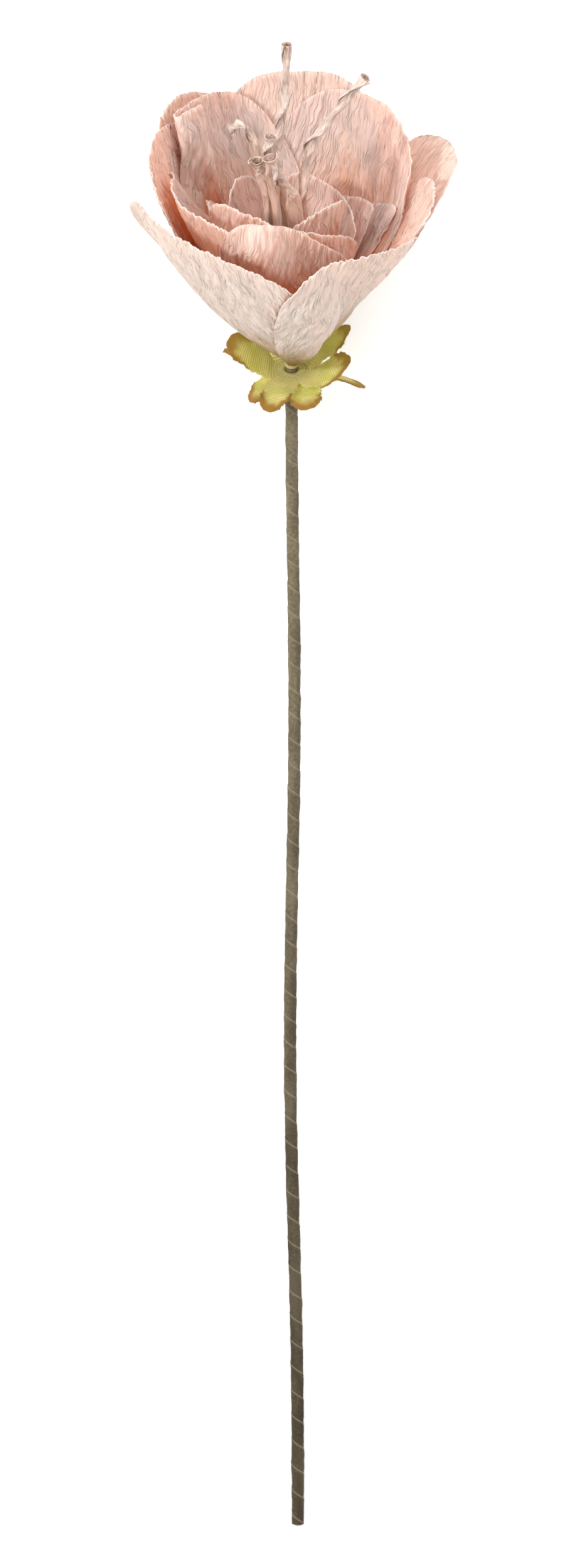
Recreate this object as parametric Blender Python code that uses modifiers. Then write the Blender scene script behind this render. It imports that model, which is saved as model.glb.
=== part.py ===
"""Crepe paper rose, lying on its back.

Twisted paper stamens and nineteen cupped petals are glued round a paper core on the end of a wire.
The wire is wound with paper tape, and two stars of green cloth are threaded on it under the flower.
The flower is built upright about its own axis, then laid down with the stem along -Y.
"""

import math

import bmesh
import bpy
import numpy as np

MM = 0.001

# Pose of the lying rose
HEAD_RISE = math.radians(26)
BELLY_PRESS = 6.0 * MM
BELLY_PRESS_HALF = 24.0 * MM
BELLY_PRESS_FROM = 20.0 * MM
BELLY_PRESS_FULL = -6.0 * MM

# Stem: a steel wire inside a wound paper tape
STEM_LENGTH = 414.0 * MM
STEM_SWAY = 1.3 * MM
STEM_DRIFT = 2.2 * MM
WIRE_DIAMETER = 2.4 * MM
WIRE_PROUD = 0.6 * MM
WIRE_IN_CORE = 24.0 * MM
TAPE_DIAMETER = 4.3 * MM
NECK_BEND_LENGTH = 16.0 * MM
NECK_BEND_STEPS = 5
STEM_STATIONS = 22
WIRE_SIDES = 8
TAPE_SIDES = 10

# Paper core that carries the petals
CORE_LENGTH = 35.0 * MM
CORE_FOOT = 0.4 * MM
CORE_NECK_RADIUS = 2.3 * MM
CORE_TOP_RADIUS = 6.2 * MM
CORE_SIDES = 16
CORE_RINGS = 141

# Sheets
PETAL_THICKNESS = 0.35 * MM
CLOTH_THICKNESS = 0.4 * MM
STRIP_THICKNESS = 0.5 * MM
CLEARANCE = 0.3 * MM
JOIN_DISTANCE = 0.01 * MM

# Map of how far out the placed pieces reach, seen from a pole under the neck
POLE_DEPTH = 12.0 * MM
NEST_STEP = 0.5 * MM
NEST_RINGS = 340
NEST_SECTORS = 120
NEST_SLACK = 1.4
SETTLE_SWEEPS = 16
SETTLE_TIMES = 4
SETTLED = 0.00001
PETAL_TIMES = 16
STAMEN_TIMES = 8

# Calyx
CALYX_DROP = 1.4 * MM
CALYX_SPACING = 1.5 * MM
CALYX_DISC_RADIUS = 5.2 * MM
SEPAL_LENGTH = 25.0 * MM
SEPAL_HALF_WIDTH = 5.6 * MM
SEPAL_TIP_HALF_WIDTH = 1.5 * MM
SEPAL_BLUNTNESS = 0.4
SEPAL_ACROSS = 4
SEPAL_ALONG = 6

# Colours and surfaces
PETAL_COLOURS = {"inner": (0.68, 0.36, 0.26), "middle": (0.72, 0.42, 0.32), "outer": (0.80, 0.60, 0.50)}
STAMEN_COLOUR = (0.62, 0.38, 0.28)
CORE_COLOUR = (0.70, 0.52, 0.40)
CLOTH_COLOUR = (0.42, 0.45, 0.12)
TAPE_COLOUR = (0.12, 0.10, 0.06)
STEEL_COLOUR = (0.45, 0.44, 0.42)
PAPER_ROUGHNESS = 0.85
CLOTH_ROUGHNESS = 0.7
STEEL_ROUGHNESS = 0.45

# Stamens
STAMEN_RING_RADIUS = 4.2 * MM
STAMEN_BASE_WIDTH = 3.4 * MM
STAMEN_TIP_WIDTH = 3.0 * MM
STAMEN_STATIONS = 26

# A petal's middle line runs on past its rim, for margins that stand higher than the middle
MIDRIB_REACH = 1.3
MIDRIB_STATIONS = 79
ROLL_SAMPLES = 60

# The grid of a petal is closer at its base and at its margins
ROW_POWER = 1.2
MARGIN_CROWDING = 0.35 * math.pi

PETAL_DEFAULTS = dict(
    belly=math.radians(30), curl=0.0, curl_from=0.75, spread=1.0, crown_left=0.28, crown_right=0.28,
    crown_power=2.6, skew=0.0, claw=0.16, shoulder=0.62, roll_left=0.0, roll_right=0.0, roll_from=0.6,
    roll_to=1.0, across=10, along=9,
)
INNER_CELLS = dict(across=8, along=7)


def petal(name, azimuth, base, rim_radius, rim_height, half_width, **details):
    """One petal: where its middle line starts on the core, where its rim stands, and how wide it is."""
    values = dict(PETAL_DEFAULTS)
    values.update(details)
    values.update(
        name=name, azimuth=math.radians(azimuth), base=base * MM, rim_radius=rim_radius * MM,
        rim_height=rim_height * MM, half_width=half_width * MM,
    )
    return values


# Petals from the inside out, as they are glued on. Left and right are seen from the axis.
PETALS = [
    petal("inner_petal_1", -49, 30, 19, 79, 15, belly=0.3, crown_power=1.8, **INNER_CELLS),
    petal("inner_petal_2", 143, 29, 23, 70, 12, crown_left=0.4, crown_right=0.4, crown_power=2, **INNER_CELLS),
    petal("inner_petal_3", 57, 28, 24, 62, 18, crown_left=0.12, skew=0.14, crown_power=4.0, **INNER_CELLS),
    petal("inner_petal_4", -168, 27, 29, 73, 14, crown_left=0.4, crown_right=0.4, crown_power=2, **INNER_CELLS),
    petal("inner_petal_5", 40, 26, 29, 58, 10, crown_left=0.1, crown_right=0.06, crown_power=4.0, skew=-0.1,
          **INNER_CELLS),
    petal("inner_petal_6", 31, 25, 35, 56, 10, crown_left=0.1, crown_right=0.06, crown_power=4.0, skew=-0.15,
          **INNER_CELLS),
    petal("inner_petal_7", -110, 24, 22, 70, 14, **INNER_CELLS),
    petal("middle_petal_1", -95, 22, 31, 82, 32, crown_power=3.0, skew=-0.14, claw=0.1, shoulder=0.9),
    petal("middle_petal_2", -152, 20.5, 42, 83, 31, crown_left=0.08, crown_right=0.08, skew=0.06, roll_left=-1.0,
          roll_from=0.7),
    petal("middle_petal_3", -86, 19, 36, 84, 25, crown_left=0.5, crown_power=3.0, skew=-0.3, claw=0.1,
          shoulder=0.9),
    petal("middle_petal_4", 129, 17.5, 46, 89, 30, crown_left=0.7, crown_right=0.03, skew=0.04, shoulder=0.75,
          roll_right=2.7, roll_from=0.54, roll_to=0.68, across=14),
    petal("middle_petal_5", 56, 16, 47, 86, 30),
    petal("middle_petal_6", 1, 14.5, 49, 75, 18, belly=0.3, claw=0.1, shoulder=0.8),
    petal("middle_petal_7", 165, 13, 49, 87, 28),
    petal("outer_petal_1", 86, 10, 49, 90, 32, crown_left=0.25, crown_right=0.25),
    petal("outer_petal_2", 130, 8.5, 51.8, 87, 24, crown_left=0.6, crown_right=0.3, skew=0.1, belly=0.72),
    petal("outer_petal_3", 28, 7, 59, 76, 17, crown_left=0.25, crown_right=0.25, curl=0.3, belly=0.2),
    petal("outer_petal_4", -137, 5, 55, 84, 43, crown_left=0.4, crown_right=0.26, crown_power=3.2, skew=-0.01,
          spread=1.1, claw=0.1, shoulder=0.8, roll_left=-0.8, roll_from=0.5, across=12),
    petal("outer_petal_5", -58, 3, 52, 80, 28.5, crown_left=0.3, crown_right=0.06, crown_power=4.0, skew=-0.09,
          belly=0.1, claw=0.1, shoulder=1.0),
]

# Stamens: azimuth of the foot, then points of the path after it (x, y, height above the neck)
STAMENS = [
    (80, [(-4.8, 6.0, 83.0), (-3.0, 7.0, 104.0), (-1.5, 8.0, 131.0)], 2.6),
    (20, [(3.8, 1.4, 67.0), (5.6, 2.0, 90.0), (12.8, 3.0, 103.0), (25.3, 4.0, 120.0)], 3.0),
    (150, [(-8.5, 2.2, 76.0), (-12.0, 2.0, 92.0), (-17.0, 2.0, 101.0), (-21.0, 2.0, 99.4)], 2.2),
    (250, [(-6.4, -4.6, 80.0), (-7.9, -5.0, 95.0), (-7.4, -5.0, 101.6)], 1.6),
    (310, [(0.5, -7.0, 75.0), (-3.8, -9.0, 86.5), (-7.6, -10.0, 96.5)], 1.4),
    (200, [(-9.6, -1.8, 79.0), (-12.0, -2.4, 89.5)], 1.2),
]


def sepal(base_azimuth, tip_azimuth, start_rise, tip_rise, length_share=1.0, width_share=1.0, cup=0.1, twist=0):
    """One leaf of the calyx: the way it leaves the stem, the way its tip points and how it turns over."""
    return dict(
        base_azimuth=math.radians(base_azimuth), tip_azimuth=math.radians(tip_azimuth),
        start_rise=math.radians(start_rise), tip_rise=math.radians(tip_rise),
        length_share=length_share, width_share=width_share, cup=cup, twist=math.radians(twist),
    )


UPPER_SEPALS = [
    sepal(180, 178, 28, 46, 1.05, 1.2, twist=-35),
    sepal(108, 108, 42, 52),
    sepal(36, -6, 40, 64, 1.25, 0.95, twist=20),
    sepal(-36, -22, 12, 50, width_share=1.25, cup=0.2, twist=38),
    sepal(-108, -110, 6, -8),
]
LOWER_SEPALS = [
    sepal(144, 162, 8, 16, width_share=0.7, cup=-0.1),
    sepal(72, 50, 20, 34, cup=-0.1),
    sepal(0, -12, 2, -14, 1.05, 0.7, cup=-0.1, twist=-34),
    sepal(-72, -74, 6, 2, 0.9, 1.15, cup=-0.1),
    sepal(-144, -128, 2, 0, 0.85, 0.8, cup=-0.1),
]


def smooth(value):
    """0 below 0, 1 above 1, and a soft step between."""
    value = np.clip(value, 0.0, 1.0)
    return value * value * (3.0 - 2.0 * value)


def core_radius(height):
    """Radius of the paper core at a height above the neck."""
    share = np.clip((height - CORE_FOOT) / (CORE_LENGTH - CORE_FOOT), 0.0, 1.0)
    return CORE_NECK_RADIUS + (CORE_TOP_RADIUS - CORE_NECK_RADIUS) * share


def midrib(leaf):
    """Middle line of a petal: its length, and radius and height at shares of that length."""
    base_radius = float(core_radius(leaf["base"])) + PETAL_THICKNESS / 2 + CLEARANCE
    run = leaf["rim_radius"] - base_radius
    rise = leaf["rim_height"] - leaf["base"]
    belly = leaf["belly"]
    length = math.hypot(run, rise) * (belly / 2) / math.sin(belly / 2)
    share = np.linspace(0.0, MIDRIB_REACH, MIDRIB_STATIONS)
    angle = math.atan2(run, rise) + belly * (0.5 - share)
    angle = angle + leaf["curl"] * smooth((share - leaf["curl_from"]) / (1.0 - leaf["curl_from"]))
    step = length * MIDRIB_REACH / (MIDRIB_STATIONS - 1)
    middle = (angle[1:] + angle[:-1]) / 2
    radius = base_radius + np.concatenate([[0.0], np.cumsum(np.sin(middle) * step)])
    height = leaf["base"] + np.concatenate([[0.0], np.cumsum(np.cos(middle) * step)])
    return length, share, radius, height


def petal_grid(leaf):
    """Points of a petal's sheet, rows from base to rim and columns across, as cut and shaped."""
    length, line, line_radius, line_height = midrib(leaf)
    u = np.linspace(-1.0, 1.0, leaf["across"] + 1)[None, :]
    u = np.sin(MARGIN_CROWDING * u) / math.sin(MARGIN_CROWDING)
    v = np.linspace(0.0, 1.0, leaf["along"] + 1)[:, None] ** ROW_POWER
    rounding = 1.0 - np.sqrt(np.clip(1.0 - np.abs(u) ** leaf["crown_power"], 0.0, 1.0))
    crown = np.where(u > 0, leaf["crown_right"], leaf["crown_left"])
    f = v * (1.0 - crown * rounding + leaf["skew"] * u)
    radius = np.interp(f, line, line_radius)
    height = np.interp(f, line, line_height)
    widen = np.sin(math.pi / 2 * np.minimum(f / leaf["shoulder"], 1.0))
    half = leaf["half_width"] * (leaf["claw"] + (1.0 - leaf["claw"]) * widen)
    across = u * half
    part = (np.arange(ROLL_SAMPLES) + 0.5) / ROLL_SAMPLES
    travelled = across[..., None] * part
    outward = np.abs(u)[..., None] * part
    roll = np.where(u > 0, leaf["roll_right"], leaf["roll_left"])[..., None]
    rolled = roll * smooth((outward - leaf["roll_from"]) / (leaf["roll_to"] - leaf["roll_from"]))
    heading = travelled / (leaf["spread"] * radius[..., None])
    heading = heading + rolled * np.sign(u)[..., None] * smooth(f * 2.0)[..., None]
    east = np.mean(np.cos(heading), axis=-1) * across
    out = radius - np.mean(np.sin(heading), axis=-1) * across
    cosine = math.cos(leaf["azimuth"])
    sine = math.sin(leaf["azimuth"])
    return np.stack([out * cosine - east * sine, out * sine + east * cosine, height], axis=-1)


def to_polar(points):
    """Distance from the pole, azimuth and angle from the flower's axis."""
    x, y, z = points[..., 0], points[..., 1], points[..., 2] + POLE_DEPTH
    ring = np.hypot(x, y)
    return np.hypot(ring, z), np.arctan2(y, x), np.arctan2(ring, z)


def from_polar(distance, azimuth, angle):
    """Point for a distance from the pole, an azimuth and an angle from the axis."""
    ring = distance * np.sin(angle)
    return np.stack(
        [ring * np.cos(azimuth), ring * np.sin(azimuth), distance * np.cos(angle) - POLE_DEPTH], axis=-1
    )


def refine(grid, times):
    """The same bilinear sheet with each cell split into times by times."""
    rows, columns = grid.shape[:2]
    row = np.linspace(0, rows - 1, (rows - 1) * times + 1)
    column = np.linspace(0, columns - 1, (columns - 1) * times + 1)
    low_row = np.minimum(row.astype(int), rows - 2)
    low_column = np.minimum(column.astype(int), columns - 2)
    t = (row - low_row)[:, None, None]
    s = (column - low_column)[None, :, None]
    corner = grid[low_row][:, low_column]
    right = grid[low_row][:, low_column + 1]
    above = grid[low_row + 1][:, low_column]
    far = grid[low_row + 1][:, low_column + 1]
    return (corner * (1 - s) + right * s) * (1 - t) + (above * (1 - s) + far * s) * t


class Nest:
    """Reach of the pieces placed so far: the largest angle from the axis over distance and azimuth."""

    def __init__(self):
        self.reach = np.zeros((NEST_RINGS, NEST_SECTORS))
        self.outer = self.reach

    def add(self, points, half_thickness):
        """Take in the surface points of a piece that is now in place."""
        distance, azimuth, angle = to_polar(points)
        ring = np.clip(np.rint(distance / NEST_STEP).astype(int), 0, NEST_RINGS - 1)
        sector = np.rint(azimuth / (2 * math.pi) * NEST_SECTORS).astype(int) % NEST_SECTORS
        np.maximum.at(self.reach, (ring.ravel(), sector.ravel()), (angle + half_thickness / distance).ravel())
        wide = self.spread(self.spread(self.reach))
        self.outer = np.maximum(self.soften(self.soften(wide)), wide)

    @staticmethod
    def spread(reach):
        """Each cell takes the largest value of itself and its neighbours."""
        ringed = np.maximum(reach, np.maximum(np.roll(reach, 1, axis=1), np.roll(reach, -1, axis=1)))
        padded = np.pad(ringed, ((1, 1), (0, 0)), mode="edge")
        return np.maximum(ringed, np.maximum(padded[:-2], padded[2:]))

    @staticmethod
    def soften(reach):
        """Average of each cell and its neighbours."""
        ringed = (np.roll(reach, 1, axis=1) + 2 * reach + np.roll(reach, -1, axis=1)) / 4
        padded = np.pad(ringed, ((1, 1), (0, 0)), mode="edge")
        return (padded[:-2] + 2 * ringed + padded[2:]) / 4

    def lookup(self, distance, azimuth):
        """Reach at any distance and azimuth, between the map's cells."""
        row = np.clip(distance / NEST_STEP, 0, NEST_RINGS - 1.001)
        column = (azimuth / (2 * math.pi) * NEST_SECTORS) % NEST_SECTORS
        low_row = row.astype(int)
        low_column = column.astype(int) % NEST_SECTORS
        next_column = (low_column + 1) % NEST_SECTORS
        t = row - low_row
        s = column - np.floor(column)
        near = self.outer[low_row, low_column] * (1 - s) + self.outer[low_row, next_column] * s
        far = self.outer[low_row + 1, low_column] * (1 - s) + self.outer[low_row + 1, next_column] * s
        return near * (1 - t) + far * t

    def settle(self, grid, half_thickness):
        """Push a sheet outwards until every cell of it clears what is already placed."""
        rows, columns = grid.shape[:2]
        times = SETTLE_TIMES
        for _ in range(SETTLE_SWEEPS):
            distance, azimuth, angle = to_polar(refine(grid, times))
            lack = self.lookup(distance, azimuth) + (half_thickness + NEST_SLACK * CLEARANCE) / distance - angle
            lack = np.maximum(lack, 0.0)
            if lack.max() <= SETTLED:
                break
            padded = np.pad(lack, times)
            push = np.zeros((rows, columns))
            for down in range(-times, times + 1):
                for over in range(-times, times + 1):
                    weight = (1 - abs(down) / (times + 1)) * (1 - abs(over) / (times + 1))
                    window = padded[times + down::times, times + over::times][:rows, :columns]
                    push = np.maximum(push, window * weight)
            distance, azimuth, angle = to_polar(grid)
            grid = from_polar(distance, azimuth, angle + push)
        return grid


def lay_down(points):
    """Flower's own axes to the lying pose about the neck: the axis runs along +Y and rises."""
    y = points[..., 1] * math.sin(HEAD_RISE) + points[..., 2] * math.cos(HEAD_RISE)
    z = -points[..., 1] * math.cos(HEAD_RISE) + points[..., 2] * math.sin(HEAD_RISE)
    return np.stack([points[..., 0], y, z], axis=-1)


def stand_up(points):
    """The way back from the lying pose to the flower's own axes."""
    y = points[..., 1] * math.sin(HEAD_RISE) - points[..., 2] * math.cos(HEAD_RISE)
    z = points[..., 1] * math.cos(HEAD_RISE) + points[..., 2] * math.sin(HEAD_RISE)
    return np.stack([points[..., 0], y, z], axis=-1)


def press(points):
    """Flatten the back of the cup where it lies on the surface, so that it rests on two broad places."""
    lying = lay_down(points)
    share = (lying[..., 0] / BELLY_PRESS_HALF) ** 2
    near = smooth((BELLY_PRESS_FROM - lying[..., 2]) / (BELLY_PRESS_FROM - BELLY_PRESS_FULL))
    lying[..., 2] -= BELLY_PRESS * share * np.exp(1.0 - share) * near
    return stand_up(lying)


def smooth_path(points, count):
    """Evenly counted stations on a smooth curve through the given points."""
    points = np.array(points, dtype=float)
    ends = np.concatenate([[2 * points[0] - points[1]], points, [2 * points[-1] - points[-2]]])
    pieces = len(points) - 1
    stations = []
    for t in np.linspace(0.0, pieces, count):
        index = min(int(t), pieces - 1)
        s = t - index
        a, b, c, d = ends[index:index + 4]
        stations.append(
            0.5 * (2 * b + (c - a) * s + (2 * a - 5 * b + 4 * c - d) * s * s + (3 * b - a - 3 * c + d) * s ** 3)
        )
    return np.array(stations)


def stamen_grid(azimuth, path, turns):
    """A strip of paper twisted along a path, two points wide."""
    foot = [
        STAMEN_RING_RADIUS * math.cos(math.radians(azimuth)),
        STAMEN_RING_RADIUS * math.sin(math.radians(azimuth)),
        CORE_LENGTH + CLEARANCE + STRIP_THICKNESS / 2,
    ]
    stations = smooth_path([foot] + [[value * MM for value in point] for point in path], STAMEN_STATIONS)
    rows = []
    for index, station in enumerate(stations):
        share = index / (len(stations) - 1)
        ahead = stations[min(index + 1, len(stations) - 1)] - stations[max(index - 1, 0)]
        ahead = ahead / np.linalg.norm(ahead)
        side = np.cross(ahead, [math.sin(math.radians(azimuth)), -math.cos(math.radians(azimuth)), 0.15])
        side = side / np.linalg.norm(side)
        front = np.cross(ahead, side)
        turn = 2 * math.pi * turns * share + math.pi / 2
        width = STAMEN_BASE_WIDTH + (STAMEN_TIP_WIDTH - STAMEN_BASE_WIDTH) * share
        reach = (side * math.cos(turn) + front * math.sin(turn)) * width / 2
        rows.append([station - reach, station + reach])
    return np.array(rows)


def sepal_grid(leaf, height):
    """A pointed leaf that grows from the disc of its star."""
    length = (SEPAL_LENGTH - CALYX_DISC_RADIUS) * leaf["length_share"]
    half_base = math.pi / 5
    rows = []
    radius = CALYX_DISC_RADIUS
    lift = height
    for row in range(SEPAL_ALONG + 1):
        share = row / SEPAL_ALONG
        rise = leaf["start_rise"] + (leaf["tip_rise"] - leaf["start_rise"]) * share
        if row:
            radius += math.cos(rise) * length / SEPAL_ALONG
            lift += math.sin(rise) * length / SEPAL_ALONG
        azimuth = leaf["base_azimuth"] + (leaf["tip_azimuth"] - leaf["base_azimuth"]) * share
        fullness = math.sin(math.pi * (0.2 + 0.8 * share)) if row < SEPAL_ALONG else 0.0
        half = max(SEPAL_HALF_WIDTH * leaf["width_share"] * fullness ** SEPAL_BLUNTNESS, SEPAL_TIP_HALF_WIDTH)
        points = []
        for column in range(SEPAL_ACROSS + 1):
            u = 2 * column / SEPAL_ACROSS - 1
            if row == 0:
                turn = leaf["base_azimuth"] + u * half_base
                points.append([radius * math.cos(turn), radius * math.sin(turn), height])
                continue
            side = u * half * math.cos(leaf["twist"] * share)
            fold = leaf["cup"] * half * u * u * share + u * half * math.sin(leaf["twist"] * share)
            out = radius - fold * math.sin(rise)
            points.append([
                out * math.cos(azimuth) - side * math.sin(azimuth),
                out * math.sin(azimuth) + side * math.cos(azimuth),
                lift + fold * math.cos(rise),
            ])
        rows.append(points)
    return np.array(rows)


def matter(name, colour, roughness=PAPER_ROUGHNESS, metallic=0.0):
    """Plain material with a colour and a roughness, paper unless said."""
    material = bpy.data.materials.new(name)
    material.use_nodes = True
    shader = material.node_tree.nodes["Principled BSDF"]
    shader.inputs["Base Color"].default_value = (*colour, 1.0)
    shader.inputs["Roughness"].default_value = roughness
    shader.inputs["Metallic"].default_value = metallic
    return material


def add_object(name, data, material, parent, collection):
    """Put a mesh or curve in the rose's collection, under its parent, with its own material."""
    thing = bpy.data.objects.new(name, data)
    data.materials.append(material)
    thing.parent = parent
    collection.objects.link(thing)
    return thing


def add_sheet(name, grids, thickness, material, parent, collection):
    """One sheet of even thickness from grids of points that share their edges."""
    mesh = bpy.data.meshes.new(name)
    work = bmesh.new()
    for grid in grids:
        vertices = [[work.verts.new(point) for point in row] for row in grid]
        for lower, upper in zip(vertices[:-1], vertices[1:]):
            for index in range(len(lower) - 1):
                work.faces.new((lower[index], lower[index + 1], upper[index + 1], upper[index]))
    bmesh.ops.remove_doubles(work, verts=work.verts, dist=JOIN_DISTANCE)
    work.to_mesh(mesh)
    work.free()
    mesh.shade_smooth()
    sheet = add_object(name, mesh, material, parent, collection)
    solidify = sheet.modifiers.new("Thickness", "SOLIDIFY")
    solidify.thickness = thickness
    solidify.offset = 0.0
    return sheet


def ring_grid(inner_radius, outer_radius, height, sides):
    """Flat ring, as a grid that closes on itself."""
    turns = np.linspace(-math.pi / 5, 2 * math.pi - math.pi / 5, sides + 1)
    return np.array([
        [[radius * math.cos(turn), radius * math.sin(turn), height] for turn in turns]
        for radius in (inner_radius, outer_radius)
    ])


def make_petals(nest, parent, collection):
    """Glue the petals on from the inside out, each lying outside the ones before it."""
    lowest = 0.0
    for leaf in PETALS:
        grid = nest.settle(petal_grid(leaf), PETAL_THICKNESS / 2)
        nest.add(refine(grid, PETAL_TIMES), PETAL_THICKNESS / 2)
        grid = press(grid)
        lowest = min(lowest, float(lay_down(grid)[..., 2].min()) - PETAL_THICKNESS / 2)
        material = matter(leaf["name"] + "_paper", PETAL_COLOURS[leaf["name"].split("_")[0]])
        add_sheet(leaf["name"], [grid], PETAL_THICKNESS, material, parent, collection)
    return lowest


def make_stamens(nest, parent, collection):
    """Stand the twisted strips on the top of the core."""
    for number, (azimuth, path, turns) in enumerate(STAMENS, start=1):
        grid = stamen_grid(azimuth, path, turns)
        nest.add(refine(grid, STAMEN_TIMES), STRIP_THICKNESS)
        name = f"stamen_{number}"
        material = matter(name + "_paper", STAMEN_COLOUR)
        add_sheet(name, [grid], STRIP_THICKNESS, material, parent, collection)


def make_calyx(name, leaves, height, nest, parent, collection):
    """One star of cloth: a disc with a hole for the stem and five leaves that clear the petals."""
    hole = TAPE_DIAMETER / 2 + CLEARANCE
    grids = [nest.settle(sepal_grid(leaf, height), CLOTH_THICKNESS / 2) for leaf in leaves]
    grids.append(ring_grid(hole, CALYX_DISC_RADIUS, height, 5 * SEPAL_ACROSS))
    material = matter(name + "_cloth", CLOTH_COLOUR, CLOTH_ROUGHNESS)
    add_sheet(name, grids, CLOTH_THICKNESS, material, parent, collection)


def make_core(parent, collection):
    """Paper wound round the end of the wire: a turned cone with a hole for the wire."""
    bore = WIRE_DIAMETER / 2 + CLEARANCE
    bore_top = WIRE_IN_CORE + CLEARANCE
    profile = [
        (0.0, CORE_LENGTH),
        (CORE_TOP_RADIUS * 0.8, CORE_LENGTH),
        (CORE_TOP_RADIUS, CORE_LENGTH - CORE_TOP_RADIUS * 0.25),
        (CORE_NECK_RADIUS, CORE_FOOT),
        (bore, CORE_FOOT),
        (bore, bore_top),
        (0.0, bore_top),
    ]
    mesh = bpy.data.meshes.new("bud_core")
    mesh.from_pydata([(x, 0.0, z) for x, z in profile], [(i, i + 1) for i in range(len(profile) - 1)], [])
    core = add_object("bud_core", mesh, matter("core_paper", CORE_COLOUR), parent, collection)
    turn = core.modifiers.new("Turn", "SCREW")
    turn.steps = CORE_SIDES
    turn.render_steps = CORE_SIDES
    turn.use_merge_vertices = True
    turn.merge_threshold = JOIN_DISTANCE
    turn.use_smooth_shade = True


def stem_route(neck_height):
    """Middle line of the stem about the neck, from its cut end along the surface and up into the neck."""
    end_height = TAPE_DIAMETER / 2 - neck_height
    slope = math.atan2(-end_height, STEM_LENGTH)
    bend = [(0.0, 0.0, 0.0)]
    step = NECK_BEND_LENGTH / NECK_BEND_STEPS
    for index in range(NECK_BEND_STEPS):
        rise = HEAD_RISE + (slope - HEAD_RISE) * index / (NECK_BEND_STEPS - 1)
        x, y, z = bend[-1]
        bend.append((x, y - step * math.cos(rise), z - step * math.sin(rise)))
    corner = bend[-1]
    run = []
    for share in 1.0 - np.linspace(0.0, 1.0, STEM_STATIONS)[:-1]:
        sway = STEM_SWAY * math.sin(2.5 * math.pi * share) * math.sin(math.pi * share)
        run.append((
            STEM_DRIFT * share ** 2 + sway,
            corner[1] + (-STEM_LENGTH - corner[1]) * share,
            corner[2] + (end_height - corner[2]) * share,
        ))
    return run + bend[::-1]


def make_rod(name, route, radius, material, parent, collection, sides, wall=None):
    """Round rod along a route, or a tube where it has a wall."""
    curve = bpy.data.curves.new(name, "CURVE")
    curve.dimensions = "3D"
    curve.bevel_depth = radius
    curve.bevel_resolution = sides // 2 - 2
    curve.use_fill_caps = wall is None
    spline = curve.splines.new("POLY")
    spline.points.add(len(route) - 1)
    for point, place in zip(spline.points, route):
        point.co = (*place, 1.0)
    spline.use_smooth = True
    rod = add_object(name, curve, material, parent, collection)
    if wall is not None:
        solidify = rod.modifiers.new("Wall", "SOLIDIFY")
        solidify.thickness = wall
        solidify.offset = -1.0
    return rod


def make_stem(neck_height, parent, collection):
    """Wire from the cut end into the core, and the tape wound round it up to the petals."""
    route = stem_route(neck_height)
    axis = (0.0, math.cos(HEAD_RISE), math.sin(HEAD_RISE))
    start = route[0]
    wire_route = [(start[0], start[1] - WIRE_PROUD, start[2])] + route[1:]
    wire_route.append(tuple(WIRE_IN_CORE * part for part in axis))
    steel = matter("wire_steel", STEEL_COLOUR, STEEL_ROUGHNESS, 1.0)
    make_rod("stem_wire", wire_route, WIRE_DIAMETER / 2, steel, parent, collection, WIRE_SIDES)
    wall = (TAPE_DIAMETER - WIRE_DIAMETER) / 2 - CLEARANCE
    tape = matter("tape_paper", TAPE_COLOUR)
    make_rod("stem_tape", route, TAPE_DIAMETER / 2, tape, parent, collection, TAPE_SIDES, wall)


def world_corners(collection):
    """Lowest and highest corner of everything that is modelled, in the lying pose."""
    bpy.context.view_layer.update()
    graph = bpy.context.evaluated_depsgraph_get()
    corners = []
    for thing in collection.objects:
        if thing.type == "EMPTY":
            continue
        shown = thing.evaluated_get(graph)
        mesh = shown.to_mesh()
        corners += [shown.matrix_world @ vertex.co for vertex in mesh.vertices]
        shown.to_mesh_clear()
    points = np.array(corners)
    return points.min(axis=0), points.max(axis=0)


def clear_scene():
    """Take away what the start file holds."""
    for thing in list(bpy.data.objects):
        bpy.data.objects.remove(thing, do_unlink=True)


def add_empty(name, parent, collection):
    """A point that carries other objects."""
    empty = bpy.data.objects.new(name, None)
    empty.empty_display_size = 10 * MM
    empty.parent = parent
    collection.objects.link(empty)
    return empty


def main():
    """Build the rose about its neck, then set it on the surface with its origin under its middle."""
    clear_scene()
    collection = bpy.data.collections.new("crepe_paper_rose")
    bpy.context.scene.collection.children.link(collection)
    rose = add_empty("rose", None, collection)
    flower = add_empty("flower", rose, collection)
    flower.rotation_euler = (HEAD_RISE - math.pi / 2, 0.0, 0.0)

    nest = Nest()
    heights = np.linspace(0.0, CORE_LENGTH, CORE_RINGS)
    turns = np.linspace(0.0, 2 * math.pi, 2 * NEST_SECTORS)
    radii = core_radius(heights)[:, None]
    nest.add(
        np.stack([radii * np.cos(turns), radii * np.sin(turns), heights[:, None] + 0 * turns], axis=-1), 0.0
    )
    make_core(flower, collection)
    make_stamens(nest, flower, collection)
    lowest = make_petals(nest, flower, collection)
    make_calyx("calyx_upper", UPPER_SEPALS, -CALYX_DROP, nest, flower, collection)
    make_calyx("calyx_lower", LOWER_SEPALS, -CALYX_DROP - CALYX_SPACING, nest, flower, collection)
    make_stem(-lowest, rose, collection)

    low, high = world_corners(collection)
    rose.location = (-(low[0] + high[0]) / 2, -(low[1] + high[1]) / 2, -low[2])


main()
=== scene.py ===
# %% [markdown]
# # A crepe paper rose
# A paper rose is made from flat things: petals cut from crepe paper and stretched into cups, strips of
# paper twisted into stamens, two stars of green cloth, and a wire wound with paper tape. This lesson loads
# the plain solids of that rose and dresses each one: the same petal rule is worked out again on a fine
# grid, so that the ridges of the crepe can be real geometry and not only shading.

# %% Load the solids
import math

import bmesh
import bpy
import numpy as np
from mathutils import Matrix, Vector


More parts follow.
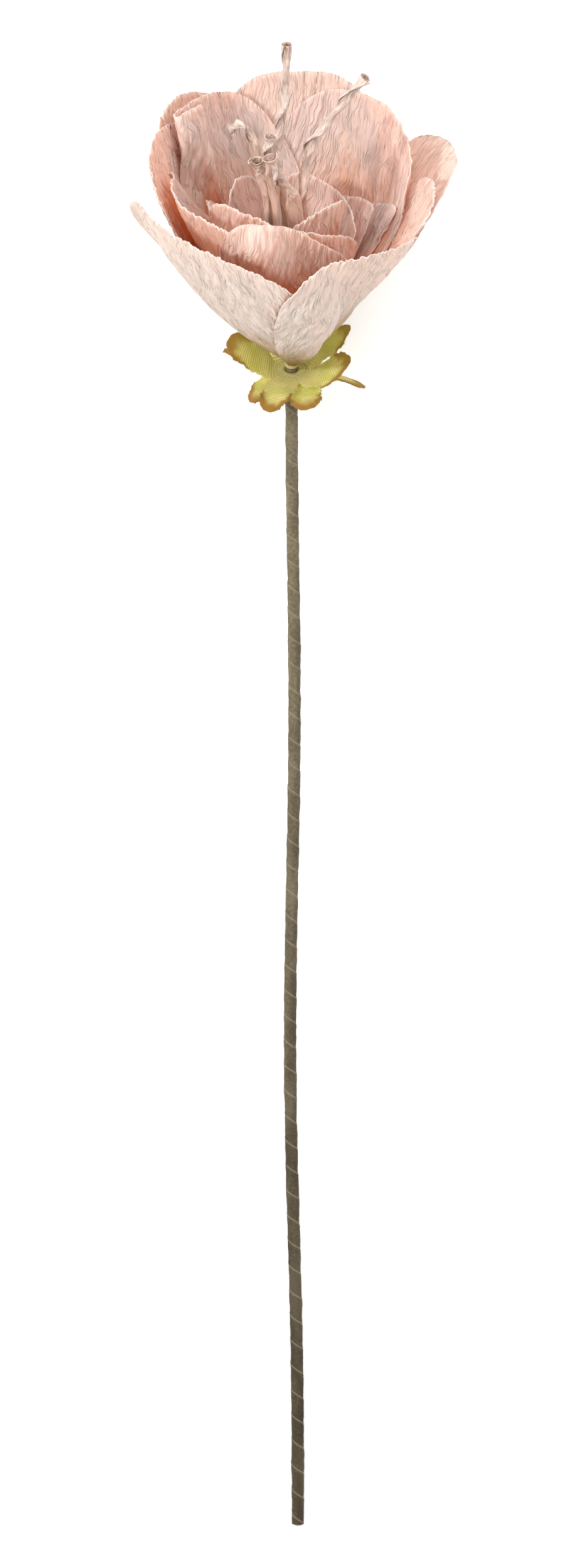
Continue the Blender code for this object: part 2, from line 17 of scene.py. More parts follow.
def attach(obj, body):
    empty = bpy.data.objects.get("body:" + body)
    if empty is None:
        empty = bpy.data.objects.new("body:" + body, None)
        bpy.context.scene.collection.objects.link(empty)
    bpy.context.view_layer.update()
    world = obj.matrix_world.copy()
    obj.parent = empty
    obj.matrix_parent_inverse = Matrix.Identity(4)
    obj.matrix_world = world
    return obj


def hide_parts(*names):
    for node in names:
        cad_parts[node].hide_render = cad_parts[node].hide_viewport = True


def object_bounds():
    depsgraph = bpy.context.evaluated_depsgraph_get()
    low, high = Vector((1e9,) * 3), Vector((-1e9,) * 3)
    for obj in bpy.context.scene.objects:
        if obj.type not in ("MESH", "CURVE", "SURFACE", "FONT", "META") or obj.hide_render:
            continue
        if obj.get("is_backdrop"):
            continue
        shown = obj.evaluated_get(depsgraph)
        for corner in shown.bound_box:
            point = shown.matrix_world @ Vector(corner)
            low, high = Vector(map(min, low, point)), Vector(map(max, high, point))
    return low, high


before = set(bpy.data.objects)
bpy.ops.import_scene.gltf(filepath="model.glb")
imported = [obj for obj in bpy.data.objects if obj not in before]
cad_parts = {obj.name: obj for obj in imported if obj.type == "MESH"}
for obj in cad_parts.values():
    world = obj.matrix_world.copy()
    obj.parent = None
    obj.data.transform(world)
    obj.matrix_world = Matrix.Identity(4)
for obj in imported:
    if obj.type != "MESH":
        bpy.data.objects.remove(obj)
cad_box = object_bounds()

MM = 0.001
print("nodes loaded:", len(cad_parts))
print("size in mm:", [round((high - low) / MM, 1) for low, high in zip(*cad_box)])

# %% [markdown]
# ## Where the flower sits
# The rose lies on its back. Its flower was shaped standing upright about its own axis and then laid down,
# so that the axis runs along +Y and rises a little. Everything in the flower is placed from the neck, the
# point where the wound stem ends under the petals. The neck isn't typed in: the top ring of the tape shows
# where it is.

# %% Find the neck
HEAD_RISE = math.radians(26)
FLOWER_AXIS = np.array([0.0, math.cos(HEAD_RISE), math.sin(HEAD_RISE)])


def corners_of(thing):
    """Vertices of an object's mesh as rows of x, y and z."""
    flat = np.zeros(len(thing.data.vertices) * 3, np.float32)
    thing.data.vertices.foreach_get("co", flat)
    return flat.reshape(-1, 3).astype(float)


tape_points = corners_of(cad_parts["stem_tape"])
tape_reach = tape_points @ FLOWER_AXIS
top_ring = tape_points[tape_reach > tape_reach.max() - 0.05 * MM]
NECK = (top_ring.min(axis=0) + top_ring.max(axis=0)) / 2
print("neck in mm:", np.round(NECK / MM, 2))


def lay_down(points):
    """From the upright flower, with the neck at its origin, to the lying rose."""
    y = points[..., 1] * math.sin(HEAD_RISE) + points[..., 2] * math.cos(HEAD_RISE)
    z = -points[..., 1] * math.cos(HEAD_RISE) + points[..., 2] * math.sin(HEAD_RISE)
    return np.stack([points[..., 0], y, z], axis=-1) + NECK


def stand_up(points):
    """The way back from the lying rose to the upright flower."""
    x, y, z = np.moveaxis(points - NECK, -1, 0)
    upright_y = y * math.sin(HEAD_RISE) - z * math.cos(HEAD_RISE)
    upright_z = y * math.cos(HEAD_RISE) + z * math.sin(HEAD_RISE)
    return np.stack([x, upright_y, upright_z], axis=-1)


# %% [markdown]
# ## Node trees written as sums
# Both the crepe relief and the finishes are node trees. A tree is easier to read when `ridge * depth` is
# written as a product, so one small class wraps a socket and turns Python's operators into Math nodes.
# Every other node comes from one method, which takes the node's type, its settings and its inputs.

# %% A socket that can be added and multiplied
class Flow:
    """The output of a node, with sums written as Python."""

    def __init__(self, graph, socket):
        self.graph = graph
        self.socket = socket

    def math(self, operation, *values, clamp=False):
        """A Math node on this and other values."""
        settings = {"operation": operation, "use_clamp": clamp}
        return self.graph.node("ShaderNodeMath", settings, dict(enumerate(values)))

    def __add__(self, other):
        return self.math("ADD", self, other)

    def __radd__(self, other):
        return self.math("ADD", other, self)

    def __sub__(self, other):
        return self.math("SUBTRACT", self, other)

    def __rsub__(self, other):
        return self.math("SUBTRACT", other, self)

    def __mul__(self, other):
        return self.math("MULTIPLY", self, other)

    def __rmul__(self, other):
        return self.math("MULTIPLY", other, self)

    def __truediv__(self, other):
        return self.math("DIVIDE", self, other)

    def __rtruediv__(self, other):
        return self.math("DIVIDE", other, self)

    def __pow__(self, other):
        return self.math("POWER", self, other)

    def size(self):
        """The value without its sign."""
        return self.math("ABSOLUTE", self)

    def limited(self):
        """The value kept between 0 and 1."""
        return self.math("ADD", self, 0.0, clamp=True)


# %% A graph that makes every node with one method
class Graph:
    """A node tree under construction."""

    def __init__(self, tree):
        self.tree = tree

    def node(self, kind, settings=None, inputs=None, output=0):
        """Add a node, set it up, feed its inputs and return one of its outputs."""
        made = self.tree.nodes.new(kind)
        for name, value in (settings or {}).items():
            setattr(made, name, value)
        for key, value in (inputs or {}).items():
            self.feed(made.inputs[key], value)
        return Flow(self, made.outputs[output])

    def feed(self, socket, value):
        """Link a flow into a socket, or set the socket to a plain value."""
        for item in value if isinstance(value, list) else [value]:
            if isinstance(item, Flow):
                self.tree.links.new(item.socket, socket)
            else:
                socket.default_value = item

    def vector(self, x=0.0, y=0.0, z=0.0):
        """Three numbers or flows as one vector."""
        return self.node("ShaderNodeCombineXYZ", None, {0: x, 1: y, 2: z})

    def parts(self, vector):
        """The x, y and z of a vector."""
        split = self.node("ShaderNodeSeparateXYZ", None, {0: vector})
        outputs = split.socket.node.outputs
        return [Flow(self, socket) for socket in outputs]

    def noise(self, vector, detail=2.0, roughness=0.5, distortion=0.0):
        """Soft noise between 0 and 1, with one feature for each unit of the vector."""
        inputs = {"Vector": vector, "Scale": 1.0, "Detail": detail}
        inputs.update({"Roughness": roughness, "Distortion": distortion})
        return self.node("ShaderNodeTexNoise", {"noise_dimensions": "3D"}, inputs)

    def step(self, value, start, end):
        """0 before start, 1 after end and a soft slope between."""
        settings = {"interpolation_type": "SMOOTHSTEP"}
        return self.node("ShaderNodeMapRange", settings, {0: value, 1: start, 2: end, 3: 0.0, 4: 1.0})

    def crests(self, noise, sharpness):
        """Thin lines, 1 where the noise passes its middle value and 0 away from it."""
        return (1.0 - (noise * 2.0 - 1.0).size() * sharpness).limited()

    def stripes(self, phase):
        """Even stripes between 0 and 1, one for each unit of the phase."""
        return phase.math("SINE", phase * (2 * math.pi)) * 0.5 + 0.5

    def scaled(self, vector, factor):
        """A vector made longer or shorter."""
        return self.node("ShaderNodeVectorMath", {"operation": "SCALE"}, {0: vector, "Scale": factor})


# %% [markdown]
# ## Finishes
# Each material starts as one Principled shader. What is the same all over is set on its sockets, and what
# changes over the surface is linked. Thin paper also lets some light through, so the paper finishes mix in
# a Translucent shader: together with painted shade at the heart, that is what makes the heart of the cup glow
# orange.

# %% Start of a finish
class Finish(Graph):
    """A material: one Principled shader, and a helper for colours."""

    def __init__(self, name, roughness=0.8, metallic=0.0):
        self.material = bpy.data.materials.new(name)
        self.material.use_nodes = True
        super().__init__(self.material.node_tree)
        self.shader = self.tree.nodes["Principled BSDF"]
        self.out = self.tree.nodes["Material Output"]
        self.shader.inputs["Roughness"].default_value = roughness
        self.shader.inputs["Metallic"].default_value = metallic
        self.shader.inputs["Specular IOR Level"].default_value = 0.25

    def attribute(self, name):
        """A number kept on the points of the mesh."""
        made = self.node("ShaderNodeAttribute", {"attribute_name": name})
        return Flow(self, made.socket.node.outputs["Fac"])

    def place(self):
        """Object coordinates, in metres."""
        return self.node("ShaderNodeTexCoord", None, None, "Object")

    def mix(self, factor, first, second):
        """Two colours mixed by a factor."""
        ready = [value if isinstance(value, Flow) else (*value, 1.0) for value in (first, second)]
        return self.node("ShaderNodeMix", {"data_type": "RGBA"}, {0: factor, 6: ready[0], 7: ready[1]}, 2)

    def bump(self, height, distance, strength=1.0):
        """Small relief that feeds the shader's normal, with its size in metres as the distance."""
        inputs = {"Height": height, "Distance": distance, "Strength": strength}
        self.feed(self.shader.inputs["Normal"], self.node("ShaderNodeBump", None, inputs))

    def colour(self, flow):
        """Link a colour to the shader."""
        self.feed(self.shader.inputs["Base Color"], flow)

    def let_light_through(self, share, colour):
        """Mix in a Translucent shader of one colour."""
        through = self.node("ShaderNodeBsdfTranslucent", None, {"Color": (*colour, 1.0)})
        both = self.node("ShaderNodeMixShader", None, {0: share, 2: through})
        self.tree.links.new(self.shader.outputs[0], both.socket.node.inputs[1])
        self.tree.links.new(both.socket, self.out.inputs["Surface"])


# %% [markdown]
# ## The crepe finish
# Crepe paper is dyed through, but a petal isn't one colour: it pales towards the rim and is deeper at the
# heart, partly its own tone and partly painted light on the lit rims and painted shade deep in the cup. Each
# ridge has a paler crest and the small creases are paler too: painted highlight where they catch the light,
# growing towards the rim. The ridge height comes from the geometry as the attribute `crest`, so paint and
# relief agree.
# The small creases and the fine fibres between the ridges are too small to model, and stay paint and bump.
# Four
# finishes are mixed by one function: the peach inside of the cup, the backs of its petals, the pale loose
# petals outside, whose foot is stained olive, and the cut edges.

# %% Crepe paper
RIM_FROM = 0.5
RIM_FULL = 0.88
CREASE_HIGHLIGHT_SHARE = 0.25
FIBRE_SHARE = 0.12


def crepe_finish(name, heart, middle, rim, crest_highlight_and_fibre_colour, crest_highlight_share, heart_ends, glow, glow_share):
    """Petal paper that goes from heart to rim, with painted shade at the heart, painted highlight on pale
    crests and small creases, and fine fibres.
    """
    paper = Finish(name, roughness=0.88)
    across = paper.attribute("across") / MM
    along = paper.attribute("along") / MM
    share = paper.attribute("share")
    crest = paper.attribute("crest")
    cloud = paper.noise(paper.vector(across / 14.0, along / 22.0, 3.0), detail=3.0)
    fibre = paper.noise(paper.vector(across / 0.3, along / 2.6, 1.0), detail=3.0, roughness=0.65)
    wander = paper.noise(paper.vector(across / 6.0, along / 9.0, 8.0), detail=1.0)
    crease = paper.noise(paper.vector(across / 1.3 + wander * 4.0, along / 12.0, 5.0), detail=1.5)
    crease = paper.crests(crease, 4.5)
    height = share + (cloud - 0.5) * 0.35
    heart_from, heart_to = heart_ends
    # Heart to rim: partly the paper's own tone, partly painted shade deep in the cup and painted light on the
    # lit rims.
    base = paper.mix(paper.step(height, heart_from, heart_to), heart, middle)
    base = paper.mix(paper.step(height, RIM_FROM, RIM_FULL), base, rim)
    # Painted highlight: crests and creases pale towards the rim, where they catch the light; the pale fibres
    # are the paper's own.
    crest_light_towards_rim = paper.step(height, heart_from - 0.1, 0.95)
    base = paper.mix(paper.step(crest, 0.5, 0.85) * crest_highlight_share * crest_light_towards_rim, base, crest_highlight_and_fibre_colour)
    base = paper.mix(crease * CREASE_HIGHLIGHT_SHARE * crest_light_towards_rim, base, crest_highlight_and_fibre_colour)
    base = paper.mix(paper.step(fibre, 0.52, 0.85) * FIBRE_SHARE, base, crest_highlight_and_fibre_colour)
    paper.colour(base)
    paper.bump(fibre * 0.3 + crease + crest * 0.8, 0.3 * MM, 1.0)
    paper.let_light_through(glow_share, glow)
    return paper.material


PEACH_GLOW = (1.0, 0.50, 0.27)
PALE_GLOW = (0.98, 0.70, 0.53)
PAPER_INSIDE = crepe_finish(
    "petal paper inside", heart=(0.95, 0.43, 0.20), middle=(0.94, 0.74, 0.60), rim=(0.91, 0.87, 0.82),
    crest_highlight_and_fibre_colour=(0.99, 0.96, 0.92), crest_highlight_share=0.8, heart_ends=(0.32, 0.74),
    glow=PEACH_GLOW, glow_share=0.42,
)
PAPER_BACK = crepe_finish(
    "petal paper back", heart=(0.88, 0.37, 0.18), middle=(0.89, 0.66, 0.52), rim=(0.89, 0.82, 0.75),
    crest_highlight_and_fibre_colour=(0.99, 0.95, 0.91), crest_highlight_share=0.6, heart_ends=(0.56, 0.94),
    glow=PEACH_GLOW, glow_share=0.38,
)
PAPER_OUTSIDE = crepe_finish(
    "petal paper outside", heart=(0.40, 0.30, 0.10), middle=(0.81, 0.74, 0.66), rim=(0.82, 0.76, 0.70),
    crest_highlight_and_fibre_colour=(0.93, 0.89, 0.85), crest_highlight_share=0.4, heart_ends=(0.08, 0.52),
    glow=PALE_GLOW, glow_share=0.28,
)
PAPER_EDGE = crepe_finish(
    "petal paper cut edge", heart=(0.90, 0.62, 0.46), middle=(0.92, 0.83, 0.76), rim=(0.95, 0.93, 0.90),
    crest_highlight_and_fibre_colour=(0.98, 0.96, 0.94), crest_highlight_share=0.3, heart_ends=(0.2, 0.6),
    glow=(0.98, 0.68, 0.52), glow_share=0.3,
)
print("crepe finishes:", PAPER_INSIDE.name, PAPER_BACK.name, PAPER_OUTSIDE.name, PAPER_EDGE.name)

# %% [markdown]
# ## The petals' rule
# A petal's middle line leaves the paper core and leans out to its rim. Across it, the sheet bends round
# the flower. The cut outline narrows to a claw at the base and is rounded at the top. Each petal is then
# pushed outwards until it clears the ones placed before it, which is how real petals lie against each
# other. These are the same rule and the same sizes that the solids were made with.

# %% Sizes of the flower
PETAL_THICKNESS = 0.35 * MM
CLEARANCE = 0.3 * MM
CORE_LENGTH = 35.0 * MM
CORE_FOOT = 0.4 * MM
CORE_NECK_RADIUS = 2.3 * MM
CORE_TOP_RADIUS = 6.2 * MM
BELLY_PRESS = 6.0 * MM
BELLY_PRESS_HALF = 24.0 * MM
BELLY_PRESS_FROM = 20.0 * MM
BELLY_PRESS_FULL = -6.0 * MM
PETAL_DEFAULTS = dict(
    belly=math.radians(30), curl=0.0, curl_from=0.75, spread=1.0, crown_left=0.28, crown_right=0.28,
    crown_power=2.6, skew=0.0, claw=0.16, shoulder=0.62, roll_left=0.0, roll_right=0.0, roll_from=0.6,
    roll_to=1.0, across=10, along=9,
)
INNER_CELLS = dict(across=8, along=7)
HAND_CUT_UNEVENNESS = 0.0026
print("core in mm:", round(CORE_LENGTH / MM, 1), "sheet in mm:", round(PETAL_THICKNESS / MM, 2))


# %% Table of the petals
def petal(name, azimuth, base, rim_radius, rim_height, half_width, **details):
    """One petal: where its middle line starts on the core, where its rim stands, and how wide it is."""
    values = dict(PETAL_DEFAULTS)
    values.update(details)
    values.update(
        name=name, azimuth=math.radians(azimuth), base=base * MM, rim_radius=rim_radius * MM,
        rim_height=rim_height * MM, half_width=half_width * MM,
    )
    return values


PETALS = [
    petal("inner_petal_1", -49, 30, 19, 79, 15, belly=0.3, crown_power=1.8, **INNER_CELLS),
    petal("inner_petal_2", 143, 29, 23, 70, 12, crown_left=0.4, crown_right=0.4, crown_power=2,
          **INNER_CELLS),
    petal("inner_petal_3", 57, 28, 24, 62, 18, crown_left=0.12, skew=0.14, crown_power=4.0, **INNER_CELLS),
    petal("inner_petal_4", -168, 27, 29, 73, 14, crown_left=0.4, crown_right=0.4, crown_power=2,
          **INNER_CELLS),
    petal("inner_petal_5", 40, 26, 29, 58, 10, crown_left=0.1, crown_right=0.06, crown_power=4.0, skew=-0.1,
          **INNER_CELLS),
    petal("inner_petal_6", 31, 25, 35, 56, 10, crown_left=0.1, crown_right=0.06, crown_power=4.0, skew=-0.15,
          **INNER_CELLS),
    petal("inner_petal_7", -110, 24, 22, 70, 14, **INNER_CELLS),
    petal("middle_petal_1", -95, 22, 31, 82, 32, crown_power=3.0, skew=-0.14, claw=0.1, shoulder=0.9),
    petal("middle_petal_2", -152, 20.5, 42, 83, 31, crown_left=0.08, crown_right=0.08, skew=0.06,
          roll_left=-1.0, roll_from=0.7),
    petal("middle_petal_3", -86, 19, 36, 84, 25, crown_left=0.5, crown_power=3.0, skew=-0.3, claw=0.1,
          shoulder=0.9),
    petal("middle_petal_4", 129, 17.5, 46, 89, 30, crown_left=0.7, crown_right=0.03, skew=0.04, shoulder=0.75,
          roll_right=2.7, roll_from=0.54, roll_to=0.68, across=14),
    petal("middle_petal_5", 56, 16, 47, 86, 30),
    petal("middle_petal_6", 1, 14.5, 49, 75, 18, belly=0.3, claw=0.1, shoulder=0.8),
    petal("middle_petal_7", 165, 13, 49, 87, 28),
    petal("outer_petal_1", 86, 10, 49, 90, 32, crown_left=0.25, crown_right=0.25),
    petal("outer_petal_2", 130, 8.5, 51.8, 87, 24, crown_left=0.6, crown_right=0.3, skew=0.1, belly=0.72),
    petal("outer_petal_3", 28, 7, 59, 76, 17, crown_left=0.25, crown_right=0.25, curl=0.3, belly=0.2),
    petal("outer_petal_4", -137, 5, 55, 84, 43, crown_left=0.4, crown_right=0.26, crown_power=3.2, skew=-0.01,
          spread=1.1, claw=0.1, shoulder=0.8, roll_left=-0.8, roll_from=0.5, across=12),
    petal("outer_petal_5", -58, 3, 52, 80, 28.5, crown_left=0.3, crown_right=0.06, crown_power=4.0,
          skew=-0.09, belly=0.1, claw=0.1, shoulder=1.0),
]
print("petals:", len(PETALS))

# %% Middle line of a petal
MIDRIB_REACH = 1.3
MIDRIB_STATIONS = 79
ROLL_SAMPLES = 60


def smooth(value):
    """0 below 0, 1 above 1, and a soft step between."""
    value = np.clip(value, 0.0, 1.0)
    return value * value * (3.0 - 2.0 * value)


def core_radius(height):
    """Radius of the paper core at a height above the neck."""
    share = np.clip((height - CORE_FOOT) / (CORE_LENGTH - CORE_FOOT), 0.0, 1.0)
    return CORE_NECK_RADIUS + (CORE_TOP_RADIUS - CORE_NECK_RADIUS) * share


def midrib(leaf):
    """Middle line of a petal: its length, and radius and height at shares of that length."""
    base_radius = float(core_radius(leaf["base"])) + PETAL_THICKNESS / 2 + CLEARANCE
    run = leaf["rim_radius"] - base_radius
    rise = leaf["rim_height"] - leaf["base"]
    belly = leaf["belly"]
    length = math.hypot(run, rise) * (belly / 2) / math.sin(belly / 2)
    share = np.linspace(0.0, MIDRIB_REACH, MIDRIB_STATIONS)
    angle = math.atan2(run, rise) + belly * (0.5 - share)
    angle = angle + leaf["curl"] * smooth((share - leaf["curl_from"]) / (1.0 - leaf["curl_from"]))
    step = length * MIDRIB_REACH / (MIDRIB_STATIONS - 1)
    middle = (angle[1:] + angle[:-1]) / 2
    radius = base_radius + np.concatenate([[0.0], np.cumsum(np.sin(middle) * step)])
    height = leaf["base"] + np.concatenate([[0.0], np.cumsum(np.cos(middle) * step)])
    return length, share, radius, height


# %% Cut outline and points of a petal
def petal_points(leaf, u, v, uneven=0.0):
    """Points of the sheet for places across (u, -1 to 1) and along (v, 0 to 1), with its cut coordinates."""
    length, line, line_radius, line_height = midrib(leaf)
    u = u[None, :]
    v = v[:, None]
    rounding = 1.0 - np.sqrt(np.clip(1.0 - np.abs(u) ** leaf["crown_power"], 0.0, 1.0))
    hand_cut = uneven * (np.sin(9.0 * u + leaf["azimuth"] * 3) + 0.6 * np.sin(23.0 * u + leaf["base"] * 900))
    crown = np.where(u > 0, leaf["crown_right"], leaf["crown_left"])
    f = v * (1.0 - crown * rounding + leaf["skew"] * u + hand_cut)
    radius = np.interp(f, line, line_radius)
    height = np.interp(f, line, line_height)
    widen = np.sin(math.pi / 2 * np.minimum(f / leaf["shoulder"], 1.0))
    half = leaf["half_width"] * (leaf["claw"] + (1.0 - leaf["claw"]) * widen)
    across = u * half
    part = (np.arange(ROLL_SAMPLES) + 0.5) / ROLL_SAMPLES
    travelled = across[..., None] * part
    outward = np.abs(u)[..., None] * part
    roll = np.where(u > 0, leaf["roll_right"], leaf["roll_left"])[..., None]
    turned = roll * smooth((outward - leaf["roll_from"]) / (leaf["roll_to"] - leaf["roll_from"]))
    heading = travelled / (leaf["spread"] * radius[..., None])
    heading = heading + turned * np.sign(u)[..., None] * smooth(f * 2.0)[..., None]
    east = np.mean(np.cos(heading), axis=-1) * across
    out = radius - np.mean(np.sin(heading), axis=-1) * across
    cosine = math.cos(leaf["azimuth"])
    sine = math.sin(leaf["azimuth"])
    points = np.stack([out * cosine - east * sine, out * sine + east * cosine, height], axis=-1)
    fan = u * leaf["half_width"] * (0.4 + 0.6 * widen)
    return points, fan, f * length


# %% [markdown]
# ## Settling the petals
# The map below holds, for every distance from a pole under the neck and every azimuth, the widest angle
# that the placed pieces reach. A new petal that lies inside that angle is pushed out to it. The push is
# worked out on the coarse grid of the solids and then blended smoothly over the fine grid.

# %% The map of what is already in place
POLE_DEPTH = 12.0 * MM
NEST_STEP = 0.5 * MM
NEST_RINGS = 340
NEST_SECTORS = 120
NEST_SLACK = 1.4
SETTLE_SWEEPS = 16
NEST_DETAIL = 16
CLEAR_ENOUGH = 0.00001


def to_polar(points):
    """Distance from the pole, azimuth and angle from the flower's axis."""
    x, y, z = points[..., 0], points[..., 1], points[..., 2] + POLE_DEPTH
    ring = np.hypot(x, y)
    return np.hypot(ring, z), np.arctan2(y, x), np.arctan2(ring, z)


def from_polar(distance, azimuth, angle):
    """Point for a distance from the pole, an azimuth and an angle from the axis."""
    ring = distance * np.sin(angle)
    return np.stack(
        [ring * np.cos(azimuth), ring * np.sin(azimuth), distance * np.cos(angle) - POLE_DEPTH], axis=-1
    )


# %% Sheets between their points
def between(grid, row, column):
    """Values of a grid at rows and columns that lie between its own."""
    low_row = np.minimum(row.astype(int), grid.shape[0] - 2)
    low_column = np.minimum(column.astype(int), grid.shape[1] - 2)
    tail = (...,) + (None,) * (grid.ndim - 2)
    t = (row - low_row)[tail]
    s = (column - low_column)[tail]
    near = grid[low_row, low_column] * (1 - s) + grid[low_row, low_column + 1] * s
    far = grid[low_row + 1, low_column] * (1 - s) + grid[low_row + 1, low_column + 1] * s
    return near * (1 - t) + far * t


def refine(grid, times):
    """The same bilinear sheet with each cell split into times by times."""
    rows, columns = grid.shape[:2]
    row = np.linspace(0, rows - 1, (rows - 1) * times + 1)[:, None]
    column = np.linspace(0, columns - 1, (columns - 1) * times + 1)[None, :]
    return between(grid, row, column)


# %% The nest
class Nest:
    """Reach of the pieces placed so far: the largest angle from the axis over distance and azimuth."""

    def __init__(self):
        self.reach = np.zeros((NEST_RINGS, NEST_SECTORS))

    def add(self, points, half_thickness):
        """Take in the surface points of a piece that is now in place."""
        distance, azimuth, angle = to_polar(points)
        ring = np.clip(np.rint(distance / NEST_STEP).astype(int), 0, NEST_RINGS - 1)
        sector = np.rint(azimuth / (2 * math.pi) * NEST_SECTORS).astype(int) % NEST_SECTORS
        np.maximum.at(self.reach, (ring.ravel(), sector.ravel()), (angle + half_thickness / distance).ravel())
        wide = self.spread(self.spread(self.reach))
        outer = np.maximum(self.soften(self.soften(wide)), wide)
        self.outer = np.pad(outer, ((0, 0), (0, 1)), mode="wrap")

    @staticmethod
    def spread(reach):
        """Each cell takes the largest value of itself and its neighbours."""
        ringed = np.maximum(reach, np.maximum(np.roll(reach, 1, axis=1), np.roll(reach, -1, axis=1)))
        padded = np.pad(ringed, ((1, 1), (0, 0)), mode="edge")
        return np.maximum(ringed, np.maximum(padded[:-2], padded[2:]))

    @staticmethod
    def soften(reach):
        """Average of each cell and its neighbours."""
        ringed = (np.roll(reach, 1, axis=1) + 2 * reach + np.roll(reach, -1, axis=1)) / 4
        padded = np.pad(ringed, ((1, 1), (0, 0)), mode="edge")
        return (padded[:-2] + 2 * ringed + padded[2:]) / 4

    def lookup(self, distance, azimuth):
        """Reach at any distance and azimuth, between the map's cells."""
        row = np.clip(distance / NEST_STEP, 0, NEST_RINGS - 1.001)
        column = (azimuth / (2 * math.pi) * NEST_SECTORS) % NEST_SECTORS
        return between(self.outer, row, column)

    def settle(self, grid, half_thickness, times=4):
        """Push a sheet outwards until every cell of it clears what is already placed."""
        rows, columns = grid.shape[:2]
        for _ in range(SETTLE_SWEEPS):
            distance, azimuth, angle = to_polar(refine(grid, times))
            room = (half_thickness + NEST_SLACK * CLEARANCE) / distance
            lack = np.maximum(self.lookup(distance, azimuth) + room - angle, 0.0)
            if lack.max() <= CLEAR_ENOUGH:
                break
            padded = np.pad(lack, times)
            push = np.zeros((rows, columns))
            for down in range(-times, times + 1):
                for over in range(-times, times + 1):
                    weight = (1 - abs(down) / (times + 1)) * (1 - abs(over) / (times + 1))
                    window = padded[times + down::times, times + over::times][:rows, :columns]
                    push = np.maximum(push, window * weight)
            distance, azimuth, angle = to_polar(grid)
            grid = from_polar(distance, azimuth, angle + push)
        return grid


# %% Settling a fine sheet like its coarse one
def settle_fine(nest, coarse, fine, half_thickness, down, over):
    """Settle a coarse sheet, and give a fine one the same push, blended by weights down and over it."""
    settled = nest.settle(coarse, half_thickness)
    push = to_polar(settled)[2] - to_polar(coarse)[2]
    distance, azimuth, angle = to_polar(fine)
    return settled, from_polar(distance, azimuth, angle + down @ push @ over.T)


def press(points):
    """Lower both sides of the cup's underside by a few millimetres, so that it lies broad on the surface."""
    lying = lay_down(points)
    share = ((lying[..., 0] - NECK[0]) / BELLY_PRESS_HALF) ** 2
    low = lying[..., 2] - NECK[2]
    near = smooth((BELLY_PRESS_FROM - low) / (BELLY_PRESS_FROM - BELLY_PRESS_FULL))
    lying[..., 2] -= BELLY_PRESS * share * np.exp(1.0 - share) * near
    return stand_up(lying)


# %% Weights of a smooth blend
def spline_weights(places, count):
    """Weights that blend count evenly spaced values smoothly at the given places."""
    low = np.clip(places.astype(int), 0, count - 2)
    s = places - low
    rows = np.arange(len(places))
    weights = np.zeros((len(places), count + 2))
    weights[rows, low] = 0.5 * (-s + 2 * s ** 2 - s ** 3)
    weights[rows, low + 1] = 0.5 * (2 - 5 * s ** 2 + 3 * s ** 3)
    weights[rows, low + 2] = 0.5 * (s + 4 * s ** 2 - 3 * s ** 3)
    weights[rows, low + 3] = 0.5 * (-s ** 2 + s ** 3)
    weights[:, 1] += 2 * weights[:, 0]
    weights[:, 2] -= weights[:, 0]
    weights[:, -2] += 2 * weights[:, -1]
    weights[:, -3] -= weights[:, -1]
    return weights[:, 1:-1]


# %% A settled petal on a fine grid
ROW_POWER = 1.2
MARGIN_CROWDING = 0.35 * math.pi


def crowded(u):
    """Even places from -1 to 1, moved closer to the margins."""
    return np.sin(MARGIN_CROWDING * u) / math.sin(MARGIN_CROWDING)


def fine_petal(leaf, nest, columns, rows):
    """A settled petal on a fine grid: its points in the lying rose, and its cut coordinates."""
    coarse_u = crowded(np.linspace(-1.0, 1.0, leaf["across"] + 1))
    coarse_v = np.linspace(0.0, 1.0, leaf["along"] + 1) ** ROW_POWER
    coarse = petal_points(leaf, coarse_u, coarse_v)[0]

    even = np.linspace(-1.0, 1.0, columns + 1)
    t = np.linspace(0.0, 1.0, rows + 1)
    fine, fan, along = petal_points(leaf, crowded(even), t ** ROW_POWER, uneven=HAND_CUT_UNEVENNESS)
    over = spline_weights((even + 1) / 2 * leaf["across"], leaf["across"] + 1)
    down = spline_weights(t * leaf["along"], leaf["along"] + 1)
    settled, points = settle_fine(nest, coarse, fine, PETAL_THICKNESS / 2, down, over)
    nest.add(refine(settled, NEST_DETAIL), PETAL_THICKNESS / 2)
    share = np.repeat(t[:, None] ** ROW_POWER, columns + 1, axis=1)
    return lay_down(press(points)), {"across": fan, "along": along, "share": share}


# %% [markdown]
# ## Crepe as geometry
# The ridges follow the grain, which fans out from the claw. A stretched noise, folded at its middle value,
# gives thin crests that branch and join as real ones do. A finer noise adds small crests between them, a
# slow one makes the sheet swell, and the rim flutters. The tree moves each point along its normal and
# keeps the ridge height for the finish. Its sizes are named inputs, and a number picks another stretch of
# paper for each petal.

# %% The crepe tree
def new_tree(name, inputs):
    """An empty Geometry Nodes tree with named inputs, given as name, type and default."""
    tree = bpy.data.node_groups.new(name, "GeometryNodeTree")
    tree.interface.new_socket("Geometry", in_out="INPUT", socket_type="NodeSocketGeometry")
    for label, kind, default in inputs:
        socket = tree.interface.new_socket(label, in_out="INPUT", socket_type=kind)
        if default is not None:
            socket.default_value = default
    tree.interface.new_socket("Geometry", in_out="OUTPUT", socket_type="NodeSocketGeometry")
    graph = Graph(tree)
    start = tree.nodes.new("NodeGroupInput")
    flows = {socket.name: Flow(graph, socket) for socket in start.outputs if socket.name}
    return graph, flows


def close_tree(graph, geometry, material):
    """End a tree in Realize Instances and Set Material."""
    real = graph.node("GeometryNodeRealizeInstances", None, {"Geometry": geometry})
    painted = graph.node("GeometryNodeSetMaterial", None, {"Geometry": real, "Material": material})
    end = graph.tree.nodes.new("NodeGroupOutput")
    graph.tree.links.new(painted.socket, end.inputs[0])
    return graph.tree


